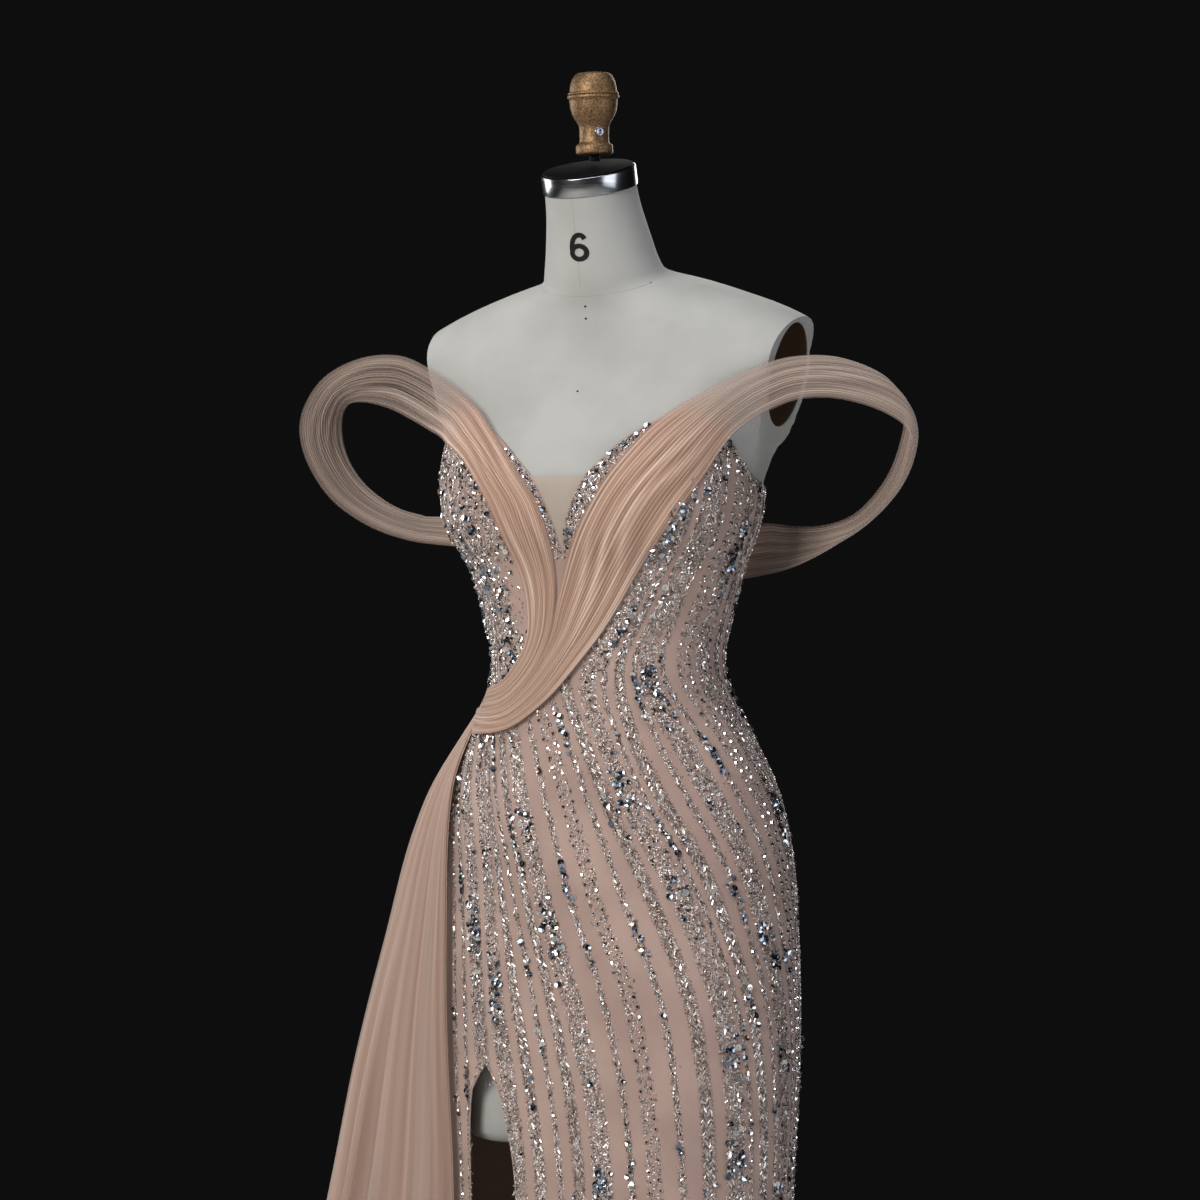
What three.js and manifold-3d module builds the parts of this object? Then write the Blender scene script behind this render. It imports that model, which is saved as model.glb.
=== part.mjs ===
// Evening gown on a limbless dress form that stands on a round base.
// Millimetres, +Z up. The floor is z = 0, the gown's front faces -Y and +X is the wearer's left.
// The origin is on the floor, in the middle of the stand's base.
import * as THREE from "three";
import { mergeVertices } from "three/addons/utils/BufferGeometryUtils.js";
import Module from "manifold-3d";

const wasm = await Module();
wasm.setup();

// Driving sizes
const clothWall = 1.5;
const seamGap = 0.08; // degrees of turn at each side of a seam, which leaves about 0.4 mm
const hemHeight = 12;
const slitTop = 701;
const bodiceFoot = 1180; // below this level all panels share their rows
const formGap = 0.8; // air between the bodice and the form
// The loops are laid out as seen from this turn to the wearer's left of the front, at this distance and height
const viewTurn = THREE.MathUtils.degToRad(25);
const eyeDistance = 4000;
const eyeHeight = 1142;
const pleatCount = 15;
const pleatDepth = 1.4;

// Outer skin of the gown, a row for each level: half width, depth to the front and to the back of the centre
const gownSections = [
  { height: 12, halfWidth: 215, front: 185, back: 235, centre: 36 },
  { height: 150, halfWidth: 192, front: 158, back: 185, centre: 30 },
  { height: 300, halfWidth: 176, front: 135, back: 150, centre: 26 },
  { height: 450, halfWidth: 170, front: 120, back: 132, centre: 24 },
  { height: 590, halfWidth: 173, front: 118, back: 129, centre: 24 },
  { height: 690, halfWidth: 178, front: 121, back: 132, centre: 25 },
  { height: 760, halfWidth: 179, front: 122, back: 134, centre: 25 },
  { height: 832, halfWidth: 177, front: 120, back: 135, centre: 24 },
  { height: 890, halfWidth: 174, front: 116, back: 133, centre: 22 },
  { height: 928, halfWidth: 169, front: 112, back: 128, centre: 19 },
  { height: 966, halfWidth: 160, front: 106, back: 120, centre: 15 },
  { height: 1004, halfWidth: 144, front: 99, back: 108, centre: 10 },
  { height: 1042, halfWidth: 125, front: 91, back: 94, centre: 5 },
  { height: 1061, halfWidth: 118, front: 88, back: 89, centre: 2 },
  { height: 1080, halfWidth: 115, front: 86, back: 87, centre: 0 },
  { height: 1098, halfWidth: 116, front: 86, back: 87, centre: 0 },
  { height: 1118, halfWidth: 121, front: 88, back: 88, centre: 0 },
  { height: 1161, halfWidth: 133, front: 95, back: 91, centre: 0 },
  { height: 1180, halfWidth: 139, front: 99, back: 94, centre: 0 },
  { height: 1199, halfWidth: 147, front: 104, back: 96, centre: 0 },
  { height: 1218, halfWidth: 153, front: 108, back: 98, centre: 0 },
  { height: 1237, halfWidth: 156, front: 110, back: 99, centre: 0 },
  { height: 1256, halfWidth: 157, front: 110, back: 100, centre: 0 },
  { height: 1290, halfWidth: 158, front: 104, back: 102, centre: 2 },
  { height: 1325, halfWidth: 160, front: 95, back: 104, centre: 6 },
];

// The two cups swell forward and outward from the sections
const cup = { angle: 43, spread: 24, height: 1235, above: 75, below: 56, swell: 21 };

// Upper edge of the gown by the turn from the centre front
const topEdge = [
  { turn: 0, height: 1190 },
  { turn: 2, height: 1212 },
  { turn: 4.5, height: 1231 },
  { turn: 7.5, height: 1248 },
  { turn: 11, height: 1261 },
  { turn: 15, height: 1272 },
  { turn: 20, height: 1286 },
  { turn: 26, height: 1299 },
  { turn: 33, height: 1309 },
  { turn: 41, height: 1313 },
  { turn: 50, height: 1309 },
  { turn: 64, height: 1290 },
  { turn: 72, height: 1273 },
  { turn: 83, height: 1258 },
  { turn: 108, height: 1246 },
  { turn: 140, height: 1232 },
  { turn: 180, height: 1224 },
];

// Edges of the high slit on the wearer's right thigh, as turns from the centre front
const slitEdges = [
  { height: 12, front: -12, side: -42 },
  { height: 300, front: -15.5, side: -41.5 },
  { height: 570, front: -18.5, side: -41.4 },
  { height: 623, front: -20.2, side: -41 },
  { height: 656, front: -22.9, side: -40 },
  { height: 685, front: -26.1, side: -37 },
  { height: 701, front: -30.2, side: -30.2 },
];

// The seam that runs up from the slit to the cup
const slitSeam = [
  { height: 701, turn: -30.2 },
  { height: 890, turn: -31 },
  { height: 1080, turn: -32 },
  { height: 1180, turn: -40 },
];

// Levels that every panel shares, from the hem to the foot of the cups
const panelLevels = [
  hemHeight, 140, 300, 480, 600, 655, 685, slitTop, 780, 870, 930, 980, 1020, 1050, 1080, 1110, 1145, bodiceFoot,
];
const cupRows = 5;

const mix = THREE.MathUtils.lerp;
const clamp = THREE.MathUtils.clamp;
const radians = THREE.MathUtils.degToRad;

// A smooth curve through one column of a table
function readTable(table, key, at, column) {
  const last = table.length - 1;
  let i = 0;
  while (i < last - 1 && table[i + 1][key] < at) i += 1;
  const slope = (k) => {
    const a = table[Math.max(k - 1, 0)];
    const b = table[Math.min(k + 1, last)];
    return (b[column] - a[column]) / (b[key] - a[key]);
  };
  const from = table[i];
  const to = table[i + 1];
  const span = to[key] - from[key];
  const t = clamp((at - from[key]) / span, 0, 1);
  const rise = to[column] - from[column];
  const bend = t * (1 - t) * ((slope(i) * span - rise) * (1 - t) - (slope(i + 1) * span - rise) * t);
  return from[column] + rise * t + bend;
}

function cupSwell(angle, height, swell) {
  const reach = height > cup.height ? cup.above : cup.below;
  const level = Math.exp(-(Math.abs((height - cup.height) / reach) ** 4));
  const side = (centre) => Math.exp(-(((angle - centre) / cup.spread) ** 2));
  return swell * level * (side(cup.angle) + side(-cup.angle));
}

// A point of the gown's outer skin: the angle runs from the centre front towards the wearer's left
function skin(angle, height, swell = cup.swell) {
  const turn = radians(angle);
  const width = readTable(gownSections, "height", height, "halfWidth");
  const facing = Math.cos(turn);
  const depth = readTable(gownSections, "height", height, facing > 0 ? "front" : "back");
  const centre = readTable(gownSections, "height", height, "centre");
  const out = cupSwell(angle, height, swell);
  return new THREE.Vector3((width + out) * Math.sin(turn), centre - (depth + out) * facing, height);
}

function onSkin(angle, height, lift, swell = cup.swell) {
  const step = 0.5;
  const along = skin(angle + step, height, swell).sub(skin(angle - step, height, swell));
  const up = skin(angle, height + step, swell).sub(skin(angle, height - step, swell));
  const normal = along.cross(up).normalize();
  return skin(angle, height, swell).addScaledVector(normal, lift);
}

// The angle of the skin that a point in space is nearest to, at its own level
function angleAt(point) {
  const width = readTable(gownSections, "height", point.z, "halfWidth");
  const centre = readTable(gownSections, "height", point.z, "centre");
  const depth = readTable(gownSections, "height", point.z, point.y < centre ? "front" : "back");
  return THREE.MathUtils.radToDeg(Math.atan2(point.x / width, (centre - point.y) / depth));
}

// Turn of the free edge of the slit, or of the seam above it
function slitTurn(height, side) {
  if (height < slitTop) return readTable(slitEdges, "height", height, side);
  return readTable(slitSeam, "height", height, "turn");
}

function gownTop(angle) {
  return readTable(topEdge, "turn", Math.min(Math.abs(angle), 180), "height");
}

// Meshes
function solid(name, points, faces, finish) {
  const geometry = new THREE.BufferGeometry();
  geometry.setAttribute("position", new THREE.Float32BufferAttribute(points.flatMap((p) => p.toArray()), 3));
  geometry.setIndex(faces.flat());
  return named(name, geometry, finish);
}

function named(name, geometry, finish) {
  geometry.computeVertexNormals();
  const mesh = new THREE.Mesh(geometry, finish);
  mesh.name = name;
  return mesh;
}

// A closed wall between two grids of points; outside faces where (along x up) points
function wall(name, columns, rows, outer, inner, finish) {
  const points = [];
  for (let r = 0; r < rows; r += 1) {
    for (let c = 0; c < columns; c += 1) points.push(outer(c, r));
  }
  for (let r = 0; r < rows; r += 1) {
    for (let c = 0; c < columns; c += 1) points.push(inner(c, r));
  }
  const at = (c, r, side) => side * columns * rows + r * columns + c;
  const faces = [];
  const quad = (a, b, c, d) => faces.push([a, b, c], [a, c, d]);
  for (let r = 0; r < rows - 1; r += 1) {
    for (let c = 0; c < columns - 1; c += 1) {
      quad(at(c, r, 0), at(c + 1, r, 0), at(c + 1, r + 1, 0), at(c, r + 1, 0));
      quad(at(c, r, 1), at(c, r + 1, 1), at(c + 1, r + 1, 1), at(c + 1, r, 1));
    }
  }
  for (let c = 0; c < columns - 1; c += 1) {
    quad(at(c, 0, 0), at(c, 0, 1), at(c + 1, 0, 1), at(c + 1, 0, 0));
    quad(at(c, rows - 1, 0), at(c + 1, rows - 1, 0), at(c + 1, rows - 1, 1), at(c, rows - 1, 1));
  }
  for (let r = 0; r < rows - 1; r += 1) {
    quad(at(0, r, 0), at(0, r + 1, 0), at(0, r + 1, 1), at(0, r, 1));
    quad(at(columns - 1, r, 0), at(columns - 1, r, 1), at(columns - 1, r + 1, 1), at(columns - 1, r + 1, 0));
  }
  return solid(name, points, faces, finish);
}

// Finishes
const finish = (color, roughness, metalness = 0) => new THREE.MeshStandardMaterial({ color, roughness, metalness });
const beadedTulle = finish(0xc4a293, 0.6);
const nudeMesh = finish(0xd6b49c, 0.8);
const sashTulle = finish(0xc9a489, 0.85);
const trainTulle = finish(0xb79c8d, 0.9);
const formCloth = finish(0xd4d2c9, 0.9);
const plateBrown = finish(0x3a2417, 0.5);
const polishedSteel = finish(0xb4b7ba, 0.2, 1);
const blackPlate = finish(0x151515, 0.5);
const goldPaint = finish(0xa07c42, 0.45, 0.6);
const standSteel = finish(0x8d9094, 0.35, 1);
const zipNylon = finish(0xb9917f, 0.5);

// Gown panels. The columns are given as turns at the level of the cups.
const panels = {
  front: { from: "seam", turns: [-40, -32, -25, -18, -11, -7.5, -4.5, -2, 0, 2, 4.5, 7.5, 11, 18, 25, 32, 40,
    48, 56, 64, 72, 81, 90] },
  sideFront: { to: "seam", turns: [-90, -81, -72, -64, -56, -48, -40] },
  backLeft: { turns: [90, 100, 110, 120, 130, 140, 150, 160, 170, 180] },
  backRight: { turns: [-180, -170, -160, -150, -140, -130, -120, -110, -100, -90] },
};

function panelWall(name, panel) {
  const turns = panel.turns;
  const first = turns[0];
  const last = turns[turns.length - 1];
  const rows = panelLevels.length + cupRows;
  const place = (c, r, lift) => {
    const level = panelLevels[Math.min(r, panelLevels.length - 1)];
    const start = panel.from ? slitTurn(level, "front") : first;
    const end = panel.to ? slitTurn(level, "side") : last;
    const share = (turns[c] - first) / (last - first);
    const angle = mix(start + seamGap, end - seamGap, share);
    const above = (r - panelLevels.length + 1) / cupRows;
    const height = r < panelLevels.length ? level : mix(bodiceFoot, gownTop(angle), above);
    return onSkin(angle, height, lift);
  };
  return wall(name, turns.length, rows, (c, r) => place(c, r, 0), (c, r) => place(c, r, -clothWall), beadedTulle);
}

// The nude mesh that fills the foot of the plunge
const insert = { top: 1257, turns: [-10, -7.5, -4.5, -2, 0, 2, 4.5, 7.5, 10], rows: 3, wall: 1, gap: 1.2 };

function plungeInsert() {
  const place = (c, r, lift) => {
    const angle = insert.turns[c];
    const low = gownTop(angle) + insert.gap;
    const high = Math.max(insert.top, low + 1.5);
    return onSkin(angle, mix(low, high, r / (insert.rows - 1)), lift);
  };
  return wall("plunge_mesh", insert.turns.length, insert.rows,
    (c, r) => place(c, r, -0.2), (c, r) => place(c, r, -0.2 - insert.wall), nudeMesh);
}

// A place given as it is seen from the turned view: across to the right, height, and toward the viewer.
// Across and height are as they look against the form's middle, so what is nearer is drawn in by its distance.
function seen(across, height, toward) {
  const right = new THREE.Vector3(Math.cos(viewTurn), Math.sin(viewTurn), 0);
  const near = new THREE.Vector3(Math.sin(viewTurn), -Math.cos(viewTurn), 0);
  const draw = 1 - toward / eyeDistance;
  return right.multiplyScalar(across * draw).addScaledVector(near, toward).setZ(mix(eyeHeight, height, draw));
}

// Sashes. On the body an edge is given by its turn and height on the gown, in the air as seen from the turned view.
// "first" and "second" are the two long edges, in the order that puts the outer face outwards.
const leftSash = {
  onBody: [
    { firstTurn: -70, firstHeight: 1035, secondTurn: -57, secondHeight: 1011, lift: 5.4 },
    { firstTurn: -47, firstHeight: 1039, secondTurn: -36, secondHeight: 1015, lift: 5.4 },
    { firstTurn: -33.2, firstHeight: 1047, secondTurn: -23.2, secondHeight: 1023, lift: 5.4 },
    { firstTurn: -18.5, firstHeight: 1073, secondTurn: -6.5, secondHeight: 1053, lift: 5.2 },
    { firstTurn: -8.2, firstHeight: 1109, secondTurn: 10.8, secondHeight: 1094, lift: 4.8 },
    { firstTurn: -4.2, firstHeight: 1142, secondTurn: 20.8, secondHeight: 1123, lift: 3.4 },
    { firstTurn: 1, firstHeight: 1180, secondTurn: 32.5, secondHeight: 1174, lift: 2 },
    { firstTurn: 6.2, firstHeight: 1209, secondTurn: 39.5, secondHeight: 1207, lift: 1.4 },
    { firstTurn: 16, firstHeight: 1252, secondTurn: 46.2, secondHeight: 1237, lift: 1.4 },
    { firstTurn: 28.2, firstHeight: 1294, secondTurn: 54.5, secondHeight: 1268, lift: 1.6 },
    { firstTurn: 37, firstHeight: 1317, secondTurn: 62.5, secondHeight: 1294, lift: 3 },
  ],
  inAir: [
    { firstAcross: 92, firstHeight: 1344, firstToward: 113, secondAcross: 130, secondHeight: 1311, secondToward: 112 },
    { firstAcross: 126, firstHeight: 1364, firstToward: 112, secondAcross: 149, secondHeight: 1325, secondToward: 120 },
    { firstAcross: 173, firstHeight: 1376, firstToward: 104, secondAcross: 183, secondHeight: 1335, secondToward: 122 },
    { firstAcross: 221, firstHeight: 1376, firstToward: 108, secondAcross: 221, secondHeight: 1335, secondToward: 130 },
    { firstAcross: 269, firstHeight: 1356, firstToward: 112, secondAcross: 264, secondHeight: 1322, secondToward: 148 },
    { firstAcross: 284, firstHeight: 1320, firstToward: 120, secondAcross: 290, secondHeight: 1304, secondToward: 166 },
    { firstAcross: 278, firstHeight: 1288, firstToward: 122, secondAcross: 288, secondHeight: 1275, secondToward: 166 },
    { firstAcross: 264, firstHeight: 1254, firstToward: 104, secondAcross: 273, secondHeight: 1245, secondToward: 145 },
    { firstAcross: 235, firstHeight: 1221, firstToward: 62, secondAcross: 242, secondHeight: 1215, secondToward: 100 },
    { firstAcross: 202, firstHeight: 1211, firstToward: 12, secondAcross: 205, secondHeight: 1187, secondToward: 42 },
    { firstAcross: 173, firstHeight: 1213, firstToward: -14, secondAcross: 173, secondHeight: 1172, secondToward: 10 },
    { firstAcross: 149, firstHeight: 1215, firstToward: -18, secondAcross: 142, secondHeight: 1164, secondToward: -8 },
  ],
  join: { firstTurn: 142, firstHeight: 1208, secondTurn: 138, secondHeight: 1158, lift: 1 },
  bow: 9,
};
const rightSash = {
  onBody: [
    { firstTurn: -71, firstHeight: 1056, secondTurn: -70, secondHeight: 1036, lift: 2 },
    { firstTurn: -47.8, firstHeight: 1063, secondTurn: -47, secondHeight: 1039, lift: 2 },
    { firstTurn: -38, firstHeight: 1072, secondTurn: -33.2, secondHeight: 1047, lift: 2 },
    { firstTurn: -28.5, firstHeight: 1090, secondTurn: -18.5, secondHeight: 1073, lift: 1.8 },
    { firstTurn: -22, firstHeight: 1111, secondTurn: -8.2, secondHeight: 1109, lift: 1.5 },
    { firstTurn: -20, firstHeight: 1142, secondTurn: -4.2, secondHeight: 1142, lift: 1.2 },
    { firstTurn: -22, firstHeight: 1177, secondTurn: -3.4, secondHeight: 1175, lift: 1 },
    { firstTurn: -23.5, firstHeight: 1207, secondTurn: -4, secondHeight: 1204, lift: 1.2 },
    { firstTurn: -27, firstHeight: 1237, secondTurn: -7.2, secondHeight: 1237, lift: 1.4 },
    { firstTurn: -33.5, firstHeight: 1263, secondTurn: -16, secondHeight: 1266, lift: 1.4 },
    { firstTurn: -40.8, firstHeight: 1280, secondTurn: -24, secondHeight: 1292, lift: 1.8 },
    { firstTurn: -58, firstHeight: 1294, secondTurn: -40, secondHeight: 1330, lift: 4 },
  ],
  inAir: [
    { firstAcross: -167, firstHeight: 1301, firstToward: -33, secondAcross: -146, secondHeight: 1350, secondToward: -4 },
    { firstAcross: -187, firstHeight: 1315, firstToward: -55, secondAcross: -170, secondHeight: 1368, secondToward: -24 },
    { firstAcross: -206, firstHeight: 1324, firstToward: -70, secondAcross: -198, secondHeight: 1377, secondToward: -42 },
    { firstAcross: -230, firstHeight: 1331, firstToward: -92, secondAcross: -234, secondHeight: 1375, secondToward: -64 },
    { firstAcross: -248, firstHeight: 1330, firstToward: -114, secondAcross: -270, secondHeight: 1358, secondToward: -84 },
    { firstAcross: -254, firstHeight: 1315, firstToward: -130, secondAcross: -290, secondHeight: 1330, secondToward: -98 },
    { firstAcross: -252, firstHeight: 1289, firstToward: -140, secondAcross: -296, secondHeight: 1302, secondToward: -106 },
    { firstAcross: -243, firstHeight: 1267, firstToward: -146, secondAcross: -287, secondHeight: 1270, secondToward: -111 },
    { firstAcross: -227, firstHeight: 1247, firstToward: -152, secondAcross: -265, secondHeight: 1236, secondToward: -116 },
    { firstAcross: -202, firstHeight: 1229, firstToward: -156, secondAcross: -231, secondHeight: 1212, secondToward: -118 },
    { firstAcross: -179, firstHeight: 1223, firstToward: -155, secondAcross: -195, secondHeight: 1200, secondToward: -116 },
    { firstAcross: -159, firstHeight: 1221, firstToward: -146, secondAcross: -157, secondHeight: 1194, secondToward: -110 },
  ],
  join: { firstTurn: -143, firstHeight: 1226, secondTurn: -139, secondHeight: 1186, lift: 1 },
  bow: 5,
};
const sashRows = 37;
const sashInnerColumns = 7;

// Stations of a sash in space, each with how closely it hugs the body
function sashStations(sash) {
  const onGown = (row) => ({
    first: onSkin(row.firstTurn, row.firstHeight, row.lift),
    second: onSkin(row.secondTurn, row.secondHeight, row.lift),
    lift: row.lift,
    hug: 1,
  });
  const free = (row) => ({
    first: seen(row.firstAcross, row.firstHeight, row.firstToward),
    second: seen(row.secondAcross, row.secondHeight, row.secondToward),
    lift: 3,
    hug: 0,
  });
  return [...sash.onBody.map(onGown), ...sash.inAir.map(free), onGown(sash.join)];
}

// A smooth path through equally spaced stations
function along(stations, at, read) {
  const last = stations.length - 1;
  const i = Math.min(Math.floor(at), last - 1);
  const t = at - i;
  const value = (k) => read(stations[clamp(k, 0, last)]);
  const [a, b, c, d] = [value(i - 1), value(i), value(i + 1), value(i + 2)];
  const curve = (p, q, r, s) =>
    0.5 * (2 * q + (r - p) * t + (2 * p - 5 * q + 4 * r - s) * t * t + (3 * q - p - 3 * r + s) * t ** 3);
  if (typeof b === "number") return mix(b, c, t);
  return new THREE.Vector3(curve(a.x, b.x, c.x, d.x), curve(a.y, b.y, c.y, d.y), curve(a.z, b.z, c.z, d.z));
}

// A point of a sash: share runs from its first edge to its second, out is how far it stands from its inner face
function sashPoint(sash, stations, at, share, out) {
  const first = along(stations, at, (s) => s.first);
  const second = along(stations, at, (s) => s.second);
  const hug = along(stations, at, (s) => s.hug);
  const lift = along(stations, at, (s) => s.lift);
  const step = 0.02;
  const middle = (k) => along(stations, k, (s) => s.first).add(along(stations, k, (s) => s.second));
  const last = stations.length - 1;
  const path = middle(Math.min(at + step, last)).sub(middle(Math.max(at - step, 0)));
  const normal = second.clone().sub(first).cross(path).normalize();
  const chord = first.clone().lerp(second, share);
  const angle = angleAt(chord);
  const near = onSkin(angle, chord.z, lift + out);
  const away = chord.clone().addScaledVector(normal, out + sash.bow * 4 * share * (1 - share));
  return away.lerp(near, THREE.MathUtils.smoothstep(hug, 0, 1));
}

function sashWall(name, sash) {
  const stations = sashStations(sash);
  const columns = 2 * pleatCount + 1;
  const points = [];
  for (let r = 0; r < sashRows; r += 1) {
    const at = (stations.length - 1) * (r / (sashRows - 1));
    const ridge = r % (sashRows - 1) ? pleatDepth : 0; // both ends are pressed flat where they are sewn
    for (let c = 0; c < columns; c += 1) {
      const out = clothWall + (c % 2) * ridge;
      points.push(sashPoint(sash, stations, at, c / (columns - 1), out));
    }
    for (let c = 0; c < sashInnerColumns; c += 1) {
      points.push(sashPoint(sash, stations, at, c / (sashInnerColumns - 1), 0));
    }
  }
  const width = columns + sashInnerColumns;
  const outer = (c, r) => r * width + c;
  const inner = (c, r) => r * width + columns + c;
  const faces = [];
  const quad = (a, b, c, d) => faces.push([a, b, c], [a, c, d]);
  for (let r = 0; r < sashRows - 1; r += 1) {
    for (let c = 0; c < columns - 1; c += 1) {
      quad(outer(c, r), outer(c + 1, r), outer(c + 1, r + 1), outer(c, r + 1));
    }
    for (let c = 0; c < sashInnerColumns - 1; c += 1) {
      quad(inner(c, r), inner(c, r + 1), inner(c + 1, r + 1), inner(c + 1, r));
    }
    quad(outer(0, r), outer(0, r + 1), inner(0, r + 1), inner(0, r));
    const [o, i] = [columns - 1, sashInnerColumns - 1];
    quad(outer(o, r), inner(i, r), inner(i, r + 1), outer(o, r + 1));
  }
  const each = (columns - 1) / (sashInnerColumns - 1);
  for (const [r, flip] of [[0, false], [sashRows - 1, true]]) {
    const add = (a, b, c) => faces.push(flip ? [a, c, b] : [a, b, c]);
    for (let i = 0; i < sashInnerColumns - 1; i += 1) {
      const half = i * each + Math.floor(each / 2);
      for (let c = i * each; c < half; c += 1) add(outer(c, r), inner(i, r), outer(c + 1, r));
      add(outer(half, r), inner(i, r), inner(i + 1, r));
      for (let c = half; c < (i + 1) * each; c += 1) add(outer(c, r), inner(i + 1, r), outer(c + 1, r));
    }
  }
  return solid(name, points, faces, sashTulle);
}

// Side train: sheer tulle gathered in a short upright line at the hip, spreading to the floor
const train = { gatherLow: 1012, gatherHigh: 1062, rows: 11, wall: 1, crowd: 1.5 };
const trainFall = [
  { down: 0, frontTurn: -72, backTurn: -80, stand: 0, flare: 0, fold: 0.6 },
  { down: 0.05, frontTurn: -60, backTurn: -92, stand: 4, flare: 10, fold: 1.5 },
  { down: 0.12, frontTurn: -53, backTurn: -104, stand: 6, flare: 24, fold: 3 },
  { down: 0.22, frontTurn: -50, backTurn: -114, stand: 6.5, flare: 46, fold: 5 },
  { down: 0.4, frontTurn: -48, backTurn: -120, stand: 6.5, flare: 92, fold: 8 },
  { down: 0.6, frontTurn: -49, backTurn: -124, stand: 6.5, flare: 136, fold: 11 },
  { down: 1, frontTurn: -50, backTurn: -128, stand: 6.5, flare: 205, fold: 16 },
];
const trainLayers = {
  train_outer: { lift: 3.9, flare: 1, folds: 9, fold: 1 },
  train_inner: { lift: 2.1, flare: 0.6, folds: 7, fold: 0.8 },
};

function trainWall(name, layer) {
  const columns = 2 * layer.folds + 1;
  const place = (c, r, inwards) => {
    const across = c / (columns - 1); // 0 at the back edge, 1 at the front edge
    const down = (1 - r / (train.rows - 1)) ** train.crowd;
    const read = (column) => readTable(trainFall, "down", down, column);
    const angle = mix(read("backTurn"), read("frontTurn"), across);
    const start = mix(train.gatherHigh, train.gatherLow, across);
    const height = mix(start, hemHeight, down);
    const swell = Math.sin(Math.PI * across) ** 0.8;
    const fold = (c % 2 ? 1 : -1) * read("fold") * layer.fold * Math.sin(Math.PI * across);
    const lift = layer.lift + read("stand") + Math.max(read("flare") * layer.flare * swell + fold, 0);
    return onSkin(angle, height, lift - inwards, 0).setZ(height);
  };
  return wall(name, columns, train.rows, (c, r) => place(c, r, 0), (c, r) => place(c, r, train.wall), trainTulle);
}

// Dress form
const formSlack = [
  { height: 600, slack: 5 },
  { height: 980, slack: 4.5 },
  { height: 1050, slack: 2.6 },
  { height: 1110, slack: clothWall + formGap },
  { height: 1290, slack: clothWall + formGap },
];
const formSwell = 17; // the form's own bust, under the cups
const formLevels = [770, 825, 870, 900, 930, 955, 980, 1000, 1020, 1050, 1080, 1110, 1145, bodiceFoot, 1203, 1225,
  1247, 1268];

// Shoulders and neck in planes that lean towards the back: level is where the plane meets the form's middle
const shoulderRings = [
  { level: 1290, halfWidth: 156, front: 101, back: 99, centre: 2, square: 2, lean: 0 },
  { level: 1320, halfWidth: 163, front: 90, back: 98, centre: 7, square: 2.1, lean: 3 },
  { level: 1345, halfWidth: 184, front: 82, back: 92, centre: 14, square: 2.3, lean: 7 },
  { level: 1370, halfWidth: 204, front: 76, back: 84, centre: 18, square: 2.5, lean: 12 },
  { level: 1388, halfWidth: 206, front: 72, back: 80, centre: 18, square: 2.4, lean: 15 },
  { level: 1404, halfWidth: 180, front: 68, back: 76, centre: 16, square: 2.2, lean: 17 },
  { level: 1420, halfWidth: 143, front: 63, back: 70, centre: 11, square: 2, lean: 18 },
  { level: 1434, halfWidth: 104, front: 58, back: 62, centre: 5, square: 2, lean: 18.5 },
  { level: 1443, halfWidth: 76, front: 54, back: 57, centre: -2, square: 2, lean: 18 },
  { level: 1450, halfWidth: 61, front: 52, back: 54, centre: -7, square: 2, lean: 17.5 },
  { level: 1462, halfWidth: 56, front: 50, back: 50, centre: -13, square: 2, lean: 17 },
  { level: 1490, halfWidth: 50, front: 47, back: 47, centre: -22, square: 2, lean: 17 },
  { level: 1520, halfWidth: 45, front: 44, back: 44, centre: -32, square: 2, lean: 17 },
  { level: 1542, halfWidth: 43, front: 43, back: 43, centre: -39, square: 2, lean: 17 },
];
const ringSides = 36;

function shoulderPoint(ring, angle) {
  const turn = radians(angle);
  const power = 2 / ring.square;
  const side = Math.sign(Math.sin(turn)) * Math.abs(Math.sin(turn)) ** power;
  const facing = Math.sign(Math.cos(turn)) * Math.abs(Math.cos(turn)) ** power;
  const swell = cupSwell(angle, ring.level, formSwell);
  const y = ring.centre - ((facing > 0 ? ring.front : ring.back) + swell) * facing;
  return new THREE.Vector3((ring.halfWidth + swell) * side, y, ring.level + Math.tan(radians(ring.lean)) * y);
}

function lowerPoint(height, angle) {
  return onSkin(angle, height, -readTable(formSlack, "height", height, "slack"), formSwell).setZ(height);
}

// A closed solid through rings of points, each ring anticlockwise seen from above
function loft(rings) {
  const sides = rings[0].length;
  const points = rings.flat();
  const faces = [];
  for (let r = 0; r < rings.length - 1; r += 1) {
    for (let c = 0; c < sides; c += 1) {
      const next = (c + 1) % sides;
      const [a, b] = [r * sides + c, r * sides + next];
      faces.push([a, b, b + sides], [a, b + sides, a + sides]);
    }
  }
  for (const [r, flip] of [[0, true], [rings.length - 1, false]]) {
    const middle = rings[r].reduce((sum, p) => sum.add(p), new THREE.Vector3()).divideScalar(sides);
    const hub = points.push(middle) - 1;
    for (let c = 0; c < sides; c += 1) {
      const [a, b] = [r * sides + c, r * sides + ((c + 1) % sides)];
      faces.push(flip ? [hub, b, a] : [hub, a, b]);
    }
  }
  return solid("loft", points, faces, formCloth).geometry;
}

function toManifold(geometry) {
  const bare = geometry.clone();
  bare.deleteAttribute("normal");
  bare.deleteAttribute("uv");
  const merged = mergeVertices(bare, 1e-4);
  const vertProperties = new Float32Array(merged.attributes.position.array);
  const triVerts = new Uint32Array(merged.index.array);
  return new wasm.Manifold(new wasm.Mesh({ numProp: 3, vertProperties, triVerts }));
}

function fromManifold(name, shape, finish) {
  const { vertProperties, triVerts } = shape.getMesh();
  const geometry = new THREE.BufferGeometry();
  geometry.setAttribute("position", new THREE.BufferAttribute(new Float32Array(vertProperties), 3));
  geometry.setIndex(new THREE.BufferAttribute(new Uint32Array(triVerts), 1));
  return named(name, geometry, finish);
}

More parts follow.
